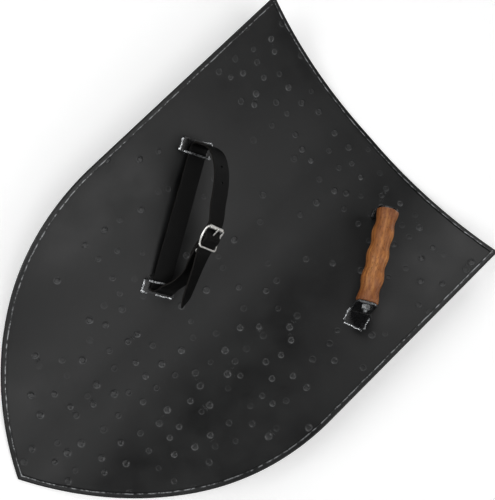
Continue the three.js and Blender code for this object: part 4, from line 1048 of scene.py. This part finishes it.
# Round the bar the fold is slotted for the prong's coil, and the prong comes up through the strap
coil_room = fold + SKIVED / 2 + STRAP_GAP / 2
swing = skin(lathe([(coil_room, -2.7), (coil_room, 2.7)], 40, "x"))
prong_root = np.array([0, fold - GAP, 1.3])
prong_tip = np.array([0, REACH + 2.2, BOW + ROLLER + 1.1 + 2.3])
heading = (prong_tip - prong_root) / np.linalg.norm(prong_tip - prong_root)
corners = np.array([(-1.7, -1.7), (1.7, -1.7), (1.7, 1.7), (-1.7, 1.7)])
block = corners[:, :1] * [1, 0, 0] + corners[:, 1:] * np.cross(heading, [1, 0, 0])
tunnel = skin(np.stack([prong_root + block, prong_tip + block]))
cutters = [*holes, (buckle_seat(swing[0]), swing[1]), (buckle_seat(tunnel[0]), tunnel[1])]
for cutter, sides in cutters:
    mesh = joined("arm_strap", mesh, mesh_of("punch", cutter, sides))
piece("arm_strap", mesh, ["arm_belt"], leather, 50)

# Two domed rivets, side by side, close the fold
rivet_top = rivet_level + THICK / 2 + STRAP_GAP
rivet_foot = rivet_level - THICK / 2 - SKIVED - 2 * STRAP_GAP
dome = np.linspace(0.05, np.pi / 2, 9)
out, up = RIVET_HEAD * np.sin(dome), np.cos(dome)
profile = np.concatenate([
    np.column_stack([out, rivet_foot - up]), [(RIVET_HEAD, rivet_foot), (RIVET, rivet_foot)],
    [(RIVET, rivet_top), (RIVET_HEAD, rivet_top)], np.column_stack([out, rivet_top + up])[::-1],
])
for name, x in (("left", -RIVET_SPREAD), ("right", RIVET_SPREAD)):
    points, faces = skin(lathe(profile, 32, "z") + [x, -RIVET_BACK, 0])
    mesh = mesh_of("rivet_" + name, buckle_seat(points), faces)
    piece("rivet_" + name, mesh, ["belt_rivet_" + name], nickel, 40)

# ---------------------------------------------------------------------------------------------
# A white studio sweep, a floor that turns up into a low round wall, and soft white light from
# large lamps overhead.
turn_up = np.radians(np.linspace(0, 90, 16))
curve = np.column_stack([5 + 1.5 * np.sin(turn_up), 1.5 - 1.5 * np.cos(turn_up)])
sweep = np.concatenate([[(0.01, 0), (2.0, 0)], curve, [(6.5, 3.2)]])
points, faces = skin(lathe(sweep, 128, "z") + [0, 0, -0.0008])
floor_mesh = bpy.data.meshes.new("studio_sweep")
floor_mesh.from_pydata(points.tolist(), [], faces[0].tolist() + faces[1].tolist())
floor_mesh.polygons.foreach_set("use_smooth", np.ones(len(floor_mesh.polygons), bool))
floor = bpy.data.objects.new("studio_sweep", floor_mesh)
bpy.context.scene.collection.objects.link(floor)
paper, shader = finish_named("matt_white_studio_paper")
shader.inputs["Base Color"].default_value = linear("#fafafa")
shader.inputs["Roughness"].default_value = 0.9
shader.inputs["Emission Color"].default_value = linear("#ffffff")
shader.inputs["Emission Strength"].default_value = 0.28
floor_mesh.materials.append(paper)


def lamp(name, place, size, power):
    """A square lamp of a size in metres that faces the middle of the shield."""
    light = bpy.data.lights.new(name, "AREA")
    light.size, light.energy = size, power
    made = bpy.data.objects.new(name, light)
    bpy.context.scene.collection.objects.link(made)
    back = np.array(place) / np.linalg.norm(place)
    side = np.cross([0, 1, 0.001], back)
    side /= np.linalg.norm(side)
    turned = Matrix((side, np.cross(back, side), back)).transposed().to_4x4()
    made.matrix_world = Matrix.Translation(place) @ turned


# The strongest lamp stands past the picture's left edge; the others are weaker and fill in
lamp("left_lamp", (-1.2, -1.2, 1.7), 1.0, 18)
lamp("top_lamp", (-1.2, 1.2, 1.7), 1.2, 10)
lamp("bottom_lamp", (0.64, -0.64, 2.2), 1.2, 9)
lamp("over_lamp", (0.64, 0.64, 2.2), 1.2, 7)
lamp("right_lamp", (1.7, 0.3, 1.6), 1.0, 8)
world = bpy.data.worlds.new("studio")
bpy.context.scene.world = world
world.use_nodes = True
world.node_tree.nodes["Background"].inputs["Color"].default_value = (1, 1, 1, 1)
world.node_tree.nodes["Background"].inputs["Strength"].default_value = 0.03
bpy.context.scene.view_settings.view_transform = "Standard"
